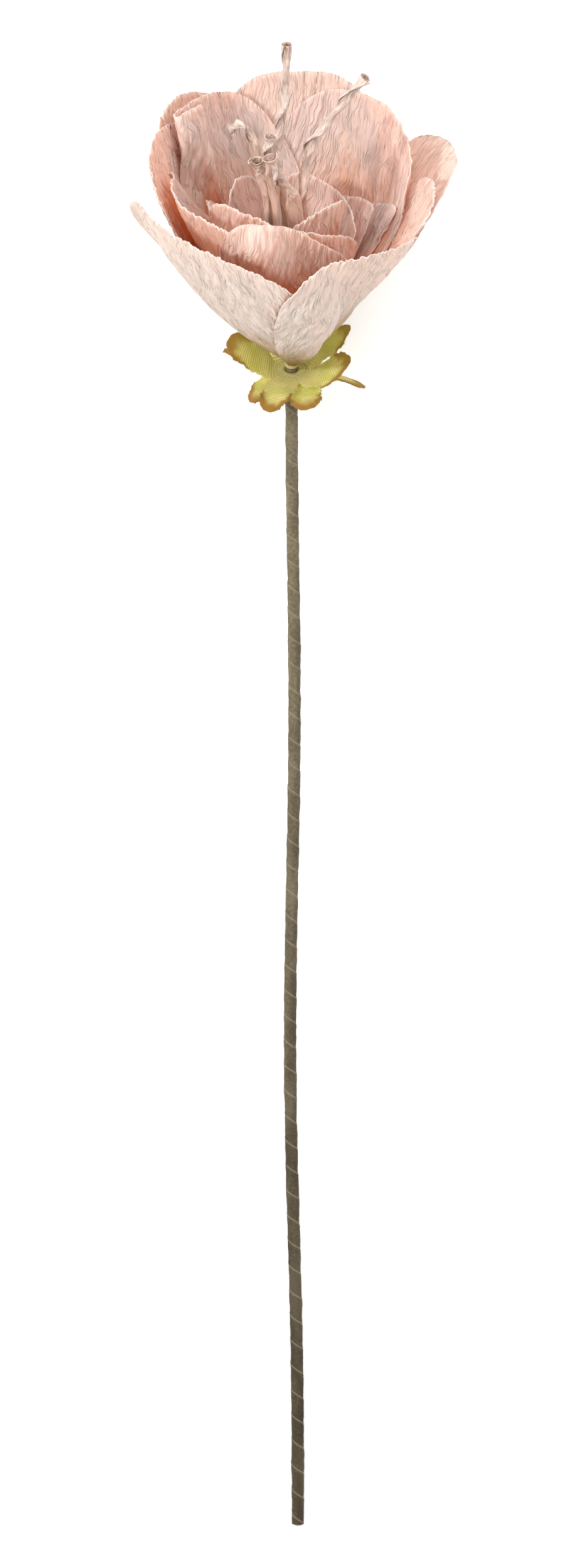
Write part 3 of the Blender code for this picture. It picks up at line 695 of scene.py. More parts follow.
def stored(graph, name):
    """A number kept on the points under this name."""
    return graph.node("GeometryNodeInputNamedAttribute", {"data_type": "FLOAT"}, {"Name": name})


def store(graph, geometry, name, value):
    """Keep a number on the points under this name."""
    return graph.node(
        "GeometryNodeStoreNamedAttribute", {"data_type": "FLOAT", "domain": "POINT"},
        {"Geometry": geometry, "Name": name, "Value": value},
    )


def move_along_normal(graph, geometry, lift):
    """Points moved by this distance along their normals."""
    offset = graph.scaled(graph.node("GeometryNodeInputNormal"), lift)
    return graph.node("GeometryNodeSetPosition", None, {"Geometry": geometry, "Offset": offset})


def crepe_tree():
    """Relief of stretched crepe along the grain, deeper towards the rim."""
    graph, given = new_tree("Crepe relief", [
        ("Ridge spacing", "NodeSocketFloat", 2.3 * MM),
        ("Ridge run", "NodeSocketFloat", 26.0 * MM),
        ("Ridge depth", "NodeSocketFloat", 0.9 * MM),
        ("Flutter", "NodeSocketFloat", 0.3 * MM),
        ("Stretch of paper", "NodeSocketFloat", 0.0),
        ("Paper", "NodeSocketMaterial", None),
    ])
    across = stored(graph, "across")
    along = stored(graph, "along")
    share = stored(graph, "share")
    paper = given["Stretch of paper"]
    drift = graph.noise(graph.vector(across / (11 * MM), along / (15 * MM), paper), detail=1.0) - 0.5
    lean = across / given["Ridge spacing"] + drift * 3.5
    wave = graph.noise(graph.vector(lean, along / given["Ridge run"], paper), detail=1.0, distortion=0.5)
    small = graph.noise(graph.vector(lean * 2.2, along * 2.0 / given["Ridge run"], paper + 9.0), detail=0.0)
    crest = graph.crests(wave, 3.6) * 0.8 + graph.crests(small, 3.0) * 0.35
    swell = graph.noise(graph.vector(across / (8 * MM), along / (24 * MM), paper + 5.0), detail=1.0) - 0.5
    deep = graph.step(share, 0.1, 0.85) * 0.85 + 0.15
    rim = graph.step(share, 0.6, 1.0)
    ripple = graph.noise(graph.vector(across / (7 * MM), paper, 0.0), detail=1.5) - 0.5
    lift = (crest - 0.35) * given["Ridge depth"] * deep
    lift = lift + swell * 0.9 * MM * deep + ripple * 2.0 * given["Flutter"] * rim
    moved = move_along_normal(graph, given["Geometry"], lift)
    return close_tree(graph, store(graph, moved, "crest", crest), given["Paper"])


CREPE = crepe_tree()
print("tree:", CREPE.name, "with", len(CREPE.nodes), "nodes")

# %% From a tree to a plain mesh
def sheet_mesh(name, grids, marks=None):
    """A mesh from grids of points that share their edges, with named numbers on its points."""
    mesh = bpy.data.meshes.new(name)
    points = np.concatenate([grid.reshape(-1, 3) for grid in grids])
    faces = []
    start = 0
    for grid in grids:
        rows, columns = grid.shape[:2]
        index = start + np.arange(rows * columns).reshape(rows, columns)
        quads = np.stack([index[:-1, :-1], index[:-1, 1:], index[1:, 1:], index[1:, :-1]], axis=-1)
        faces.append(quads.reshape(-1, 4))
        start += rows * columns
    mesh.from_pydata(points.tolist(), [], np.concatenate(faces).tolist())
    for label, values in (marks or {}).items():
        layer = mesh.attributes.new(label, "FLOAT", "POINT")
        layer.data.foreach_set("value", np.concatenate([v.ravel() for v in values]).astype(np.float32))
    mesh.shade_smooth()
    return mesh


# %% Objects and their modifiers
def link(name, data):
    """An object in the scene, at the origin, unturned."""
    thing = bpy.data.objects.new(name, data)
    bpy.context.scene.collection.objects.link(thing)
    return thing


def grow(thing, tree, values):
    """Put a Geometry Nodes tree on an object, with its named inputs set by their identifiers."""
    modifier = thing.modifiers.new(tree.name, "NODES")
    modifier.node_group = tree
    names = {item.name: item.identifier for item in tree.interface.items_tree if item.in_out == "INPUT"}
    for label, value in values.items():
        modifier[names[label]] = value
    return modifier


def thicken(thing, thickness):
    """A wall on both sides of a sheet."""
    solidify = thing.modifiers.new("Thickness", "SOLIDIFY")
    solidify.thickness = thickness
    solidify.offset = 0.0


def plain(thing):
    """Swap an object's modifiers for the mesh that they make."""
    graph = bpy.context.evaluated_depsgraph_get()
    made = bpy.data.meshes.new_from_object(thing.evaluated_get(graph))
    thing.modifiers.clear()
    old = thing.data
    thing.data = made
    made.name = thing.name
    if isinstance(old, bpy.types.Mesh):
        bpy.data.meshes.remove(old)
    return thing


def join(thing, extra):
    """Take another object's mesh into this one."""
    work = bmesh.new()
    work.from_mesh(thing.data)
    work.from_mesh(extra.data)
    work.to_mesh(thing.data)
    work.free()
    data = extra.data
    bpy.data.objects.remove(extra, do_unlink=True)
    bpy.data.meshes.remove(data)


# %% Handing a piece to the frame
FLOOR_CLEARANCE = 0.02 * MM


def finished(thing, node):
    """Press flat what dips under the surface, then hand the piece to the frame in its solid's place."""
    mesh = thing.data
    places = np.empty(len(mesh.vertices) * 3, np.float32)
    mesh.vertices.foreach_get("co", places)
    places[2::3] = np.maximum(places[2::3], FLOOR_CLEARANCE)
    mesh.vertices.foreach_set("co", places)
    mesh.update()
    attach(thing, "root")
    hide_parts(node)
    print(thing.name, "-", len(thing.data.polygons), "faces")
    return thing


# %% [markdown]
# ## The stamens
# Each stamen is a strip of crepe rolled between the fingers: a loose flat roll that is twisted along its
# length, so that the free edge of the strip winds up it like a screw. Here a spiral profile is carried
# along a path and turned as it goes. It is pinched and kinked on the way, and the tip is left open. Each
# row below gives a stamen's place round the core in degrees, the points of its path in mm from the neck,
# how often it is twisted, and half its width in mm.

# %% Twisted strips
STAMEN_RING_RADIUS = 4.2 * MM
STRIP_THICKNESS = 0.28 * MM
STAMEN_STATIONS = 130
ROLL_TURNS = 1.6
ROLL_POINTS = 26
ROLL_START = 0.42
ROLL_FLATNESS = 0.62
TIP_OPENS_FROM = 0.9
STAMENS = [
    (80, [(-4.8, 6.0, 83.0), (-3.0, 7.0, 104.0), (-1.5, 8.0, 131.0)], 2.6, 2.5),
    (20, [(3.8, 1.4, 67.0), (5.6, 2.0, 90.0), (12.8, 3.0, 103.0), (25.3, 4.0, 120.0)], 3.0, 2.5),
    (150, [(-8.5, 2.2, 76.0), (-12.0, 2.0, 92.0), (-17.0, 2.0, 101.0), (-21.0, 2.0, 99.4)], 2.2, 2.5),
    (250, [(-6.4, -4.6, 80.0), (-7.9, -5.0, 95.0), (-7.4, -5.0, 101.6)], 1.6, 2.8),
    (310, [(0.5, -7.0, 75.0), (-3.8, -9.0, 86.5), (-7.6, -10.0, 96.5)], 1.4, 3.0),
    (200, [(-9.6, -1.8, 79.0), (-12.0, -2.4, 89.5)], 1.2, 2.8),
]
print("stamens:", len(STAMENS))


# %% One twisted strip
def smooth_path(points, count):
    """Evenly counted stations on a smooth curve through the given points."""
    points = np.array(points, dtype=float)
    places = np.linspace(0.0, len(points) - 1, count)
    return spline_weights(places, len(points)) @ points


def twisted_strip(azimuth, path, turns, half_width):
    """Grid of a rolled strip along a path, and how far along and across the strip each point is."""
    east = math.cos(math.radians(azimuth))
    north = math.sin(math.radians(azimuth))
    foot_height = CORE_LENGTH + CLEARANCE + STRIP_THICKNESS / 2
    foot = [STAMEN_RING_RADIUS * east, STAMEN_RING_RADIUS * north, foot_height]
    stations = smooth_path([foot] + [[value * MM for value in point] for point in path], STAMEN_STATIONS)
    ahead = np.gradient(stations, axis=0)
    ahead /= np.linalg.norm(ahead, axis=1)[:, None]
    lean = [north, -east, 0.15]
    side = np.cross(ahead, lean)
    side /= np.linalg.norm(side, axis=1)[:, None]
    front = np.cross(ahead, side)
    share = np.linspace(0.0, 1.0, STAMEN_STATIONS)[:, None]
    strip = np.linspace(0.0, 1.0, ROLL_POINTS)[None, :]
    wind = strip * ROLL_TURNS * 2 * math.pi
    loose = ROLL_START + (1.0 - ROLL_START) * strip
    pinch = 0.86 + 0.14 * np.sin(share * turns * 4 * math.pi + azimuth)
    kinks = 0.06 * np.sin(share * 61.0 + wind * 2.0) + 0.05 * np.sin(share * 37.0 - wind * 3.0 + azimuth)
    taper = 1.12 - 0.3 * share
    tip = smooth((share - TIP_OPENS_FROM) / (1.0 - TIP_OPENS_FROM))
    reach = half_width * MM * (loose + kinks) * pinch * taper * (1.0 + 0.35 * tip)
    flat = ROLL_FLATNESS + 0.2 * tip
    x = reach * np.cos(wind)
    y = reach * flat * np.sin(wind)
    turn = 2 * math.pi * turns * share + math.pi / 2
    rolled_x = x * np.cos(turn) - y * np.sin(turn)
    rolled_y = x * np.sin(turn) + y * np.cos(turn)
    grid = rolled_x[..., None] * side[:, None, :] + rolled_y[..., None] * front[:, None, :]
    grid = stations[:, None, :] + grid
    run = np.linalg.norm(stations[-1] - stations[0])
    width = half_width * MM * 8
    return grid, share * run + 0 * strip, strip * width + 0 * share, strip + 0 * share


# %% Finish of the strips
# Painted highlight colour for the rolled strips' outer edges and fold crests.
FOLD_HIGHLIGHT = (0.97, 0.89, 0.84)


def strip_finish():
    """Twisted crepe strip: painted shade where the roll turns in, painted highlight on its outer edge and
    folds, peach at the foot.
    """
    paper = Finish("stamen paper", roughness=0.9)
    across = paper.attribute("across") / MM
    along = paper.attribute("along") / MM
    slant = across + along * 0.5
    folds = paper.noise(paper.vector(slant / 1.6, along / 8.0, 2.0), detail=2.0)
    crease = paper.crests(folds, 4.0)
    fibre = paper.noise(paper.vector(across / 0.3, along / 2.0, 7.0), detail=3.0, roughness=0.7)
    foot = paper.step(along, 55.0, 10.0)
    # Painted shade: the valley colour darkens the strip where the roll turns in and between its folds.
    valley_shade = paper.mix(foot, (0.40, 0.22, 0.15), (0.74, 0.30, 0.17))
    face = paper.mix(foot, (0.74, 0.58, 0.50), (0.93, 0.62, 0.46))
    roll = paper.attribute("roll")
    raised = (paper.step(folds, 0.3, 0.6) * 0.3 + paper.step(roll, 0.38, 0.62) * 0.8).limited()
    base = paper.mix(raised, valley_shade, face)
    # Painted highlight on the outer edge of the roll and on the crests of its folds.
    base = paper.mix(paper.step(roll, 0.86, 0.97) * 0.7, base, FOLD_HIGHLIGHT)
    base = paper.mix(crease * 0.45, base, FOLD_HIGHLIGHT)
    base = paper.mix(paper.step(fibre, 0.5, 0.8) * 0.25, base, (0.92, 0.83, 0.77))
    paper.colour(base)
    paper.bump(fibre * 0.3 + folds + crease * 0.7, 0.45 * MM, 1.0)
    paper.let_light_through(0.2, (0.9, 0.58, 0.45))
    return paper.material


# %% Six stamens
def core_surface():
    """Points all over the side of the paper core."""
    heights = np.linspace(0.0, CORE_LENGTH, 141)[:, None]
    turns = np.linspace(0.0, 2 * math.pi, 2 * NEST_SECTORS)[None, :]
    radii = core_radius(heights)
    return np.stack([radii * np.cos(turns), radii * np.sin(turns), heights + 0 * turns], axis=-1)


STAMEN_PAPER = strip_finish()
nest = Nest()
nest.add(core_surface(), 0.0)
for number, (azimuth, path, turns, half_width) in enumerate(STAMENS, start=1):
    grid, along, across, roll = twisted_strip(azimuth, path, turns, half_width)
    nest.add(refine(grid, 2), STRIP_THICKNESS)
    marks = {"along": [along], "across": [across], "roll": [roll]}
    mesh = sheet_mesh(f"twisted_stamen_{number}", [lay_down(grid)], marks)
    strip = link(mesh.name, mesh)
    mesh.materials.append(STAMEN_PAPER)
    thicken(strip, STRIP_THICKNESS)
    finished(plain(strip), f"stamen_{number}")

# %% [markdown]
# ## Making the petals
# Petals go on from the inside out, each settling against the ones before it. The relief is made on the
# bare sheet, the wall comes after it, and the two faces and the cut edge get their own finish: the inside
# of the cup is a warmer peach than the outside. The rims flutter by a different amount from petal to
# petal, most of all on the big petal at the front of the cup.

# %% Nineteen petals
FINE_CELLS = {"inner": (104, 40), "middle": (176, 60), "outer": (184, 64)}
FLUTTER = {"middle_petal_1": 1.5, "inner_petal_1": 1.0}
USUAL_FLUTTER = 0.6
PAPER_STRETCH = 11.3


def paint_sides(thing, sheet_faces, finishes):
    """The first faces of a wall are one side, the next as many the other, and the rest its edge."""
    mesh = thing.data
    mesh.materials.clear()
    for finish in finishes:
        mesh.materials.append(finish)
    numbers = np.full(len(mesh.polygons), 2, np.int32)
    numbers[:sheet_faces] = 0
    numbers[sheet_faces:2 * sheet_faces] = 1
    mesh.polygons.foreach_set("material_index", numbers)


for number, leaf in enumerate(PETALS):
    columns, rows = FINE_CELLS[leaf["name"].split("_")[0]]
    points, marks = fine_petal(leaf, nest, columns, rows)
    mesh = sheet_mesh("crepe_" + leaf["name"], [points], {label: [values] for label, values in marks.items()})
    sheet = link(mesh.name, mesh)
    flutter = FLUTTER.get(leaf["name"], USUAL_FLUTTER) * MM
    stretch = PAPER_STRETCH * number
    grow(sheet, CREPE, {"Stretch of paper": stretch, "Paper": PAPER_OUTSIDE, "Flutter": flutter})
    thicken(sheet, PETAL_THICKNESS)
    plain(sheet)
    back = PAPER_OUTSIDE if leaf["name"].startswith("outer") else PAPER_BACK
    paint_sides(sheet, columns * rows, [back, PAPER_INSIDE, PAPER_EDGE])
    finished(sheet, leaf["name"])

# %% [markdown]
# ## The calyx
# Two stars are die cut from stiffened polyester cloth, dyed yellow green, with their tips scorched brown
# by the hot cutter. Each sepal bends from the way it leaves the stem to the way its tip points, may twist,
# and lies against the petals. A few waves of different lengths make its cut edge ragged. The weave is open
# enough to see its threads, so they are drawn in the cloth's own coordinates and cut threads fray out of
# the edges.

# %% Sepals
CALYX_DROP = 1.4 * MM
CALYX_SPACING = 1.5 * MM
CALYX_DISC_RADIUS = 5.2 * MM
CLOTH_THICKNESS = 0.4 * MM
SEPAL_LENGTH = 25.0 * MM
SEPAL_HALF_WIDTH = 5.6 * MM
SEPAL_TIP_HALF_WIDTH = 1.5 * MM
SEPAL_BLUNTNESS = 0.4
SEPAL_COARSE = (4, 6)
SEPAL_FINE = (24, 44)
SEPAL_RAGGED = 0.05
TAPE_DIAMETER = 4.3 * MM
WEFT_PITCH = 0.8
WARP_PITCH = 0.42


def sepal(base_azimuth, tip_azimuth, start_rise, tip_rise, length=1.0, width=1.0, cup=0.1, twist=0):
    """One leaf of the calyx: the way it leaves the stem, the way its tip points and how it turns over."""
    return dict(
        base_azimuth=math.radians(base_azimuth), tip_azimuth=math.radians(tip_azimuth),
        start_rise=math.radians(start_rise), tip_rise=math.radians(tip_rise),
        length_share=length, width_share=width, cup=cup, twist=math.radians(twist),
    )


UPPER_SEPALS = [
    sepal(180, 178, 28, 46, 1.05, 1.2, twist=-35),
    sepal(108, 108, 42, 52),
    sepal(36, -6, 40, 64, 1.25, 0.95, twist=20),
    sepal(-36, -22, 12, 50, width=1.25, cup=0.2, twist=38),
    sepal(-108, -110, 6, -8),
]
LOWER_SEPALS = [
    sepal(144, 162, 8, 16, width=0.7, cup=-0.1),
    sepal(72, 50, 20, 34, cup=-0.1),
    sepal(0, -12, 2, -14, 1.05, 0.7, cup=-0.1, twist=-34),
    sepal(-72, -74, 6, 2, 0.9, 1.15, cup=-0.1),
    sepal(-144, -128, 2, 0, 0.85, 0.8, cup=-0.1),
]


# %% Shape of one sepal
def sepal_points(leaf, height, columns, rows, ragged=0.0):
    """A blunt leaf that grows from the disc of its star, with its cloth coordinates."""
    length = (SEPAL_LENGTH - CALYX_DISC_RADIUS) * leaf["length_share"]
    share = np.linspace(0.0, 1.0, rows + 1)[:, None]
    u = np.linspace(-1.0, 1.0, columns + 1)[None, :]
    rise = leaf["start_rise"] + (leaf["tip_rise"] - leaf["start_rise"]) * share
    step = length / rows
    radius = CALYX_DISC_RADIUS + (np.cumsum(np.cos(rise), axis=0) - np.cos(rise[0])) * step
    lift = height + (np.cumsum(np.sin(rise), axis=0) - np.sin(rise[0])) * step
    azimuth = leaf["base_azimuth"] + (leaf["tip_azimuth"] - leaf["base_azimuth"]) * share
    fullness = np.sin(math.pi * np.minimum(0.999, 0.2 + 0.8 * share)) ** SEPAL_BLUNTNESS
    half = np.maximum(SEPAL_HALF_WIDTH * leaf["width_share"] * fullness, SEPAL_TIP_HALF_WIDTH)
    wave = np.sin(share * 23 + leaf["base_azimuth"] * 7) + 0.8 * np.sin(share * 57 + 2 * np.sign(u))
    half = half * (1.0 + ragged * wave) - ragged * 6 * MM * u ** 8 * (np.sin(share * 131 + 3 * u) > 0.2)
    turned = leaf["twist"] * share
    ripple = 14 * ragged * MM * np.sin(share * 9 + leaf["base_azimuth"] * 5) * u * share
    fold = leaf["cup"] * half * u * u * share + u * half * np.sin(turned) + ripple
    side = u * half * np.cos(turned)
    out = radius - fold * np.sin(rise)
    x = out * np.cos(azimuth) - side * np.sin(azimuth)
    y = out * np.sin(azimuth) + side * np.cos(azimuth)
    z = lift + fold * np.cos(rise)
    turn = leaf["base_azimuth"] + u * math.pi / 5
    start = smooth(share * 6)
    disc = np.stack([radius * np.cos(turn), radius * np.sin(turn), height + 0 * turn * share], axis=-1)
    points = disc + (np.stack([x, y, z], axis=-1) - disc) * start[..., None]
    return points, u * half, share * length + 0 * u, share + 0 * u, np.abs(u) + 0 * share


def fine_sepal(leaf, height):
    """A leaf that lies against the petals, on a fine grid."""
    across, along = SEPAL_COARSE
    columns, rows = SEPAL_FINE
    coarse = sepal_points(leaf, height, across, along)[0]
    fine, *marks = sepal_points(leaf, height, columns, rows, ragged=SEPAL_RAGGED)
    over = spline_weights(np.linspace(0, across, columns + 1), across + 1)
    down = spline_weights(np.linspace(0, along, rows + 1), along + 1)
    return settle_fine(nest, coarse, fine, CLOTH_THICKNESS / 2, down, over)[1], *marks


# %% The disc of a star
def ring_points(height, columns, rows=5):
    """The disc of a star round the stem."""
    hole = TAPE_DIAMETER / 2 + CLEARANCE
    turns = np.linspace(-math.pi / 5, 2 * math.pi - math.pi / 5, columns + 1)[None, :]
    radius = np.linspace(hole, CALYX_DISC_RADIUS, rows)[:, None]
    flat = np.stack([radius * np.cos(turns), radius * np.sin(turns), height + 0 * radius * turns], axis=-1)
    zero = 0 * radius * turns
    return flat, radius * turns, radius - CALYX_DISC_RADIUS + zero, zero, zero


# %% Finish of the cloth
CLOTH_GAP = (0.56, 0.50, 0.11)
CLOTH_THREAD = (0.97, 0.93, 0.58)
CLOTH_GREEN_PATCH = (0.50, 0.54, 0.10)
CLOTH_STRAW_PATCH = (0.95, 0.82, 0.36)
CLOTH_SCORCH = (0.29, 0.07, 0.035)


def cloth_finish():
    """Stiff open weave: yellow green threads, darker gaps, brown scorched rims."""
    cloth = Finish("calyx cloth", roughness=0.5)
    across = cloth.attribute("across") / MM
    along = cloth.attribute("along") / MM
    share = cloth.attribute("share")
    margin = cloth.attribute("margin")
    cloud = cloth.noise(cloth.vector(across / 5.0, along / 6.0, 1.0), detail=2.0)
    bow = along + (cloud - 0.5) * 1.2
    thread = cloth.stripes(bow / WEFT_PITCH) * 0.7 + cloth.stripes(across / WARP_PITCH) * 0.3
    base = cloth.mix(cloth.step(thread, 0.2, 0.7), CLOTH_GAP, CLOTH_THREAD)
    base = cloth.mix(cloth.step(cloud, 0.48, 0.62) * 0.4, base, CLOTH_GREEN_PATCH)
    base = cloth.mix(cloth.step(cloud, 0.5, 0.35) * 0.4, base, CLOTH_STRAW_PATCH)
    scorch = margin ** 4 * 0.45 * cloth.step(share, 0.2, 0.6) + share + (cloud - 0.5) * 0.4
    base = cloth.mix(cloth.step(scorch, 0.64, 0.92) * 0.94, base, CLOTH_SCORCH)
    cloth.colour(base)
    cloth.bump(thread, 0.1 * MM, 0.8)
    cloth.let_light_through(0.35, (0.95, 0.92, 0.25))
    return cloth.material


CALYX_CLOTH = cloth_finish()
print("finish:", CALYX_CLOTH.name)


# %% Frayed threads
def fray_tree():
    """Short threads that stand off the cut edges of a sheet of cloth."""
    graph, given = new_tree("Frayed edge", [
        ("Thread spacing", "NodeSocketFloat", 0.7 * MM),
        ("Thread length", "NodeSocketFloat", 1.3 * MM),
        ("Seed", "NodeSocketInt", 2),
        ("Cloth", "NodeSocketMaterial", None),
    ])
    neighbours = graph.node("GeometryNodeInputMeshEdgeNeighbors")
    settings = {"data_type": "INT", "operation": "EQUAL"}
    free = graph.node("FunctionNodeCompare", settings, {2: neighbours, 3: 1})
    outline = graph.node("GeometryNodeMeshToCurve", None, {"Mesh": given["Geometry"], "Selection": free})
    spaced = graph.node(
        "GeometryNodeResampleCurve", {"mode": "LENGTH"}, {"Curve": outline, "Length": given["Thread spacing"]}
    )
    thread = graph.node(
        "GeometryNodeMeshCone", None,
        {"Vertices": 4, "Radius Top": 0.02 * MM, "Radius Bottom": 0.07 * MM, "Depth": given["Thread length"]},
    )
    turn = graph.node(
        "FunctionNodeRandomValue", {"data_type": "FLOAT_VECTOR"},
        {0: (-math.pi, -math.pi, -math.pi), 1: (math.pi, math.pi, math.pi), 8: given["Seed"]},
    )
    number = {"data_type": "FLOAT"}
    size = graph.node("FunctionNodeRandomValue", number, {2: 0.2, 3: 1.0, 8: given["Seed"]}, 1)
    keep = graph.node("FunctionNodeCompare", number, {0: stored(graph, "share"), 1: 0.25})
    threads = graph.node(
        "GeometryNodeInstanceOnPoints", None,
        {"Points": spaced, "Selection": keep, "Instance": thread, "Rotation": turn, "Scale": size},
    )
    joined = graph.node("GeometryNodeJoinGeometry", None, {0: [threads]})
    return close_tree(graph, joined, given["Cloth"])


FRAY = fray_tree()
print("tree:", FRAY.name, "with", len(FRAY.nodes), "nodes")


# %% Two stars
def make_star(name, node, leaves, height):
    """One star: its sepals and its disc as one thick sheet, with the threads that fray out of its edge."""
    made = [fine_sepal(leaf, height) for leaf in leaves] + [ring_points(height, 5 * SEPAL_FINE[0])]
    grids, across, along, share, margin = zip(*made)
    marks = {"across": across, "along": along, "share": share, "margin": margin}
    mesh = sheet_mesh(name, [lay_down(grid) for grid in grids], marks)
    work = bmesh.new()
    work.from_mesh(mesh)
    bmesh.ops.remove_doubles(work, verts=work.verts, dist=0.01 * MM)
    work.to_mesh(mesh)
    work.free()
    mesh.materials.append(CALYX_CLOTH)
    threads = link(name + "_fray", mesh.copy())
    grow(threads, FRAY, {"Seed": len(name), "Cloth": CALYX_CLOTH})
    plain(threads)
    star = link(name, mesh)
    thicken(star, CLOTH_THICKNESS)
    plain(star)
    join(star, threads)
    finished(star, node)


make_star("cloth_star_upper", "calyx_upper", UPPER_SEPALS, -CALYX_DROP)
make_star("cloth_star_lower", "calyx_lower", LOWER_SEPALS, -CALYX_DROP - CALYX_SPACING)

# %% [markdown]
# ## The wound stem
# Florist's tape is a narrow waxed crepe ribbon that is stretched and wound up the wire at a slant. The
# tree sweeps a ring along the stem's middle line, lifts a shallow step along a helix where each turn laps
# the one before, and plants the short fibres that stand off its surface.

# %% Route of the stem
STEM_LENGTH = 414.0 * MM
STEM_SWAY = 1.3 * MM
STEM_DRIFT = 2.2 * MM
NECK_BEND_LENGTH = 16.0 * MM
NECK_BEND_STEPS = 5
STEM_STATIONS = 22


def stem_route(neck_height):
    """Middle line of the stem about the neck, from its cut end along the surface and up into the neck."""
    end_height = TAPE_DIAMETER / 2 - neck_height
    slope = math.atan2(-end_height, STEM_LENGTH)
    bend = [(0.0, 0.0, 0.0)]
    step = NECK_BEND_LENGTH / NECK_BEND_STEPS
    for index in range(NECK_BEND_STEPS):
        rise = HEAD_RISE + (slope - HEAD_RISE) * index / (NECK_BEND_STEPS - 1)
        x, y, z = bend[-1]
        bend.append((x, y - step * math.cos(rise), z - step * math.sin(rise)))
    corner = bend[-1]
    run = []
    for share in 1.0 - np.linspace(0.0, 1.0, STEM_STATIONS)[:-1]:
        sway = STEM_SWAY * math.sin(2.5 * math.pi * share) * math.sin(math.pi * share)
        run.append((
            STEM_DRIFT * share ** 2 + sway,
            corner[1] + (-STEM_LENGTH - corner[1]) * share,
            corner[2] + (end_height - corner[2]) * share,
        ))
    return np.array(run + bend[::-1])


route = stem_route(NECK[2]) + NECK
route = smooth_path(route, 12 * len(route))
print("stem length in mm:", round(float(np.linalg.norm(np.diff(route, axis=0), axis=1).sum()) / MM, 1))


# %% The tape tree
TURN_SPACING = 9.0


def tape_tree():
    """A tube along a line, with the lapped turns of the tape and its loose fibres."""
    graph, given = new_tree("Wound tape", [
        ("Radius", "NodeSocketFloat", TAPE_DIAMETER / 2),
        ("Turn spacing", "NodeSocketFloat", TURN_SPACING * MM),
        ("Lap", "NodeSocketFloat", 0.16 * MM),
        ("Fibre length", "NodeSocketFloat", 0.8 * MM),
        ("Fibres", "NodeSocketFloat", 400000.0),
        ("Seed", "NodeSocketInt", 4),
        ("Tape", "NodeSocketMaterial", None),
    ])
    curve = graph.node("GeometryNodeMeshToCurve", None, {"Mesh": given["Geometry"]})
    even = graph.node("GeometryNodeResampleCurve", {"mode": "LENGTH"}, {"Curve": curve, "Length": 0.8 * MM})
    marked = store(graph, even, "run", graph.node("GeometryNodeSplineParameter", None, None, "Length"))
    ring = graph.node("GeometryNodeCurvePrimitiveCircle", None, {"Resolution": 28, "Radius": given["Radius"]})
    marked_ring = store(graph, ring, "turn", graph.node("GeometryNodeSplineParameter", None, None, "Factor"))
    tube = graph.node(
        "GeometryNodeCurveToMesh", None, {"Curve": marked, "Profile Curve": marked_ring, "Fill Caps": True}
    )
    run = stored(graph, "run")
    turn = stored(graph, "turn")
    wound = run / given["Turn spacing"] + turn
    lap = wound.math("FRACT", wound)
    rough = graph.noise(graph.scaled(graph.node("GeometryNodeInputPosition"), 300.0), detail=2.0) - 0.5
    slow = graph.noise(graph.vector(run / (14 * MM), 0.0, 0.0), detail=1.0) - 0.5
    lift = (lap - 0.5) * given["Lap"] + rough * 0.45 * MM + slow * 0.5 * MM
    shaped = move_along_normal(graph, tube, lift)
    smooth_tube = graph.node("GeometryNodeSetShadeSmooth", None, {0: shaped})
    scatter = graph.node(
        "GeometryNodeDistributePointsOnFaces", None,
        {"Mesh": shaped, "Density": given["Fibres"], "Seed": given["Seed"]},
    )
    points_node = scatter.socket.node
    fibre = graph.node(
        "GeometryNodeMeshCone", None,
        {"Vertices": 3, "Radius Top": 0.0, "Radius Bottom": 0.04 * MM, "Depth": given["Fibre length"]},
    )
    tilt = graph.node("FunctionNodeRandomValue", {"data_type": "FLOAT_VECTOR"},
                      {0: (-1.0, -1.0, 0.0), 1: (1.0, 1.0, 6.0), 8: given["Seed"]})
    turned = graph.node(
        "FunctionNodeRotateRotation", {"rotation_space": "LOCAL"},
        {0: Flow(graph, points_node.outputs["Rotation"]), 1: tilt},
    )
    size = graph.node("FunctionNodeRandomValue", {"data_type": "FLOAT"}, {2: 0.3, 3: 1.0, 8: 9}, 1)
    points = Flow(graph, points_node.outputs["Points"])
    fibres = graph.node(
        "GeometryNodeInstanceOnPoints", None,
        {"Points": points, "Instance": fibre, "Rotation": turned, "Scale": size},
    )
    joined = graph.node("GeometryNodeJoinGeometry", None, {0: [fibres, smooth_tube]})
    return close_tree(graph, joined, given["Tape"])


# %% Tape finish
TAPE_LAP = (0.34, 0.29, 0.20)
TAPE_SPOT = (0.33, 0.29, 0.20)


def tape_finish():
    """Olive brown waxed crepe tape: slanting twill, pale lapped edges, darker towards the cut end."""
    tape = Finish("stem tape", roughness=0.8)
    run = tape.attribute("run") / MM
    turn = tape.attribute("turn")
    wound = run / TURN_SPACING + turn
    lap = wound.math("FRACT", wound)
    twill = tape.stripes(run / 0.75 + turn * 7.0)
    spots = tape.noise(tape.vector(run / 1.1, turn * 11.0, 0.0), detail=4.0, roughness=0.6)
    slow = tape.noise(tape.vector(run / 24.0, turn * 1.5, 4.0), detail=2.0)
    upper = tape.step(run, 20.0, 400.0)
    pale = tape.mix(upper, (0.095, 0.075, 0.045), (0.25, 0.21, 0.14))
    dark = tape.mix(upper, (0.042, 0.032, 0.019), (0.11, 0.09, 0.055))
    base = tape.mix(tape.step(slow + (spots - 0.5) * 0.6, 0.3, 0.7), dark, pale)
    base = tape.mix(twill * 0.35, base, dark)
    base = tape.mix(tape.step(lap, 0.88, 1.0) * 0.45, base, TAPE_LAP)
    base = tape.mix(tape.step(spots, 0.62, 0.85) * 0.5, base, TAPE_SPOT)
    tape.colour(base)
    tape.bump(twill * 0.6 + spots * 0.6, 0.2 * MM, 1.0)
    return tape.material


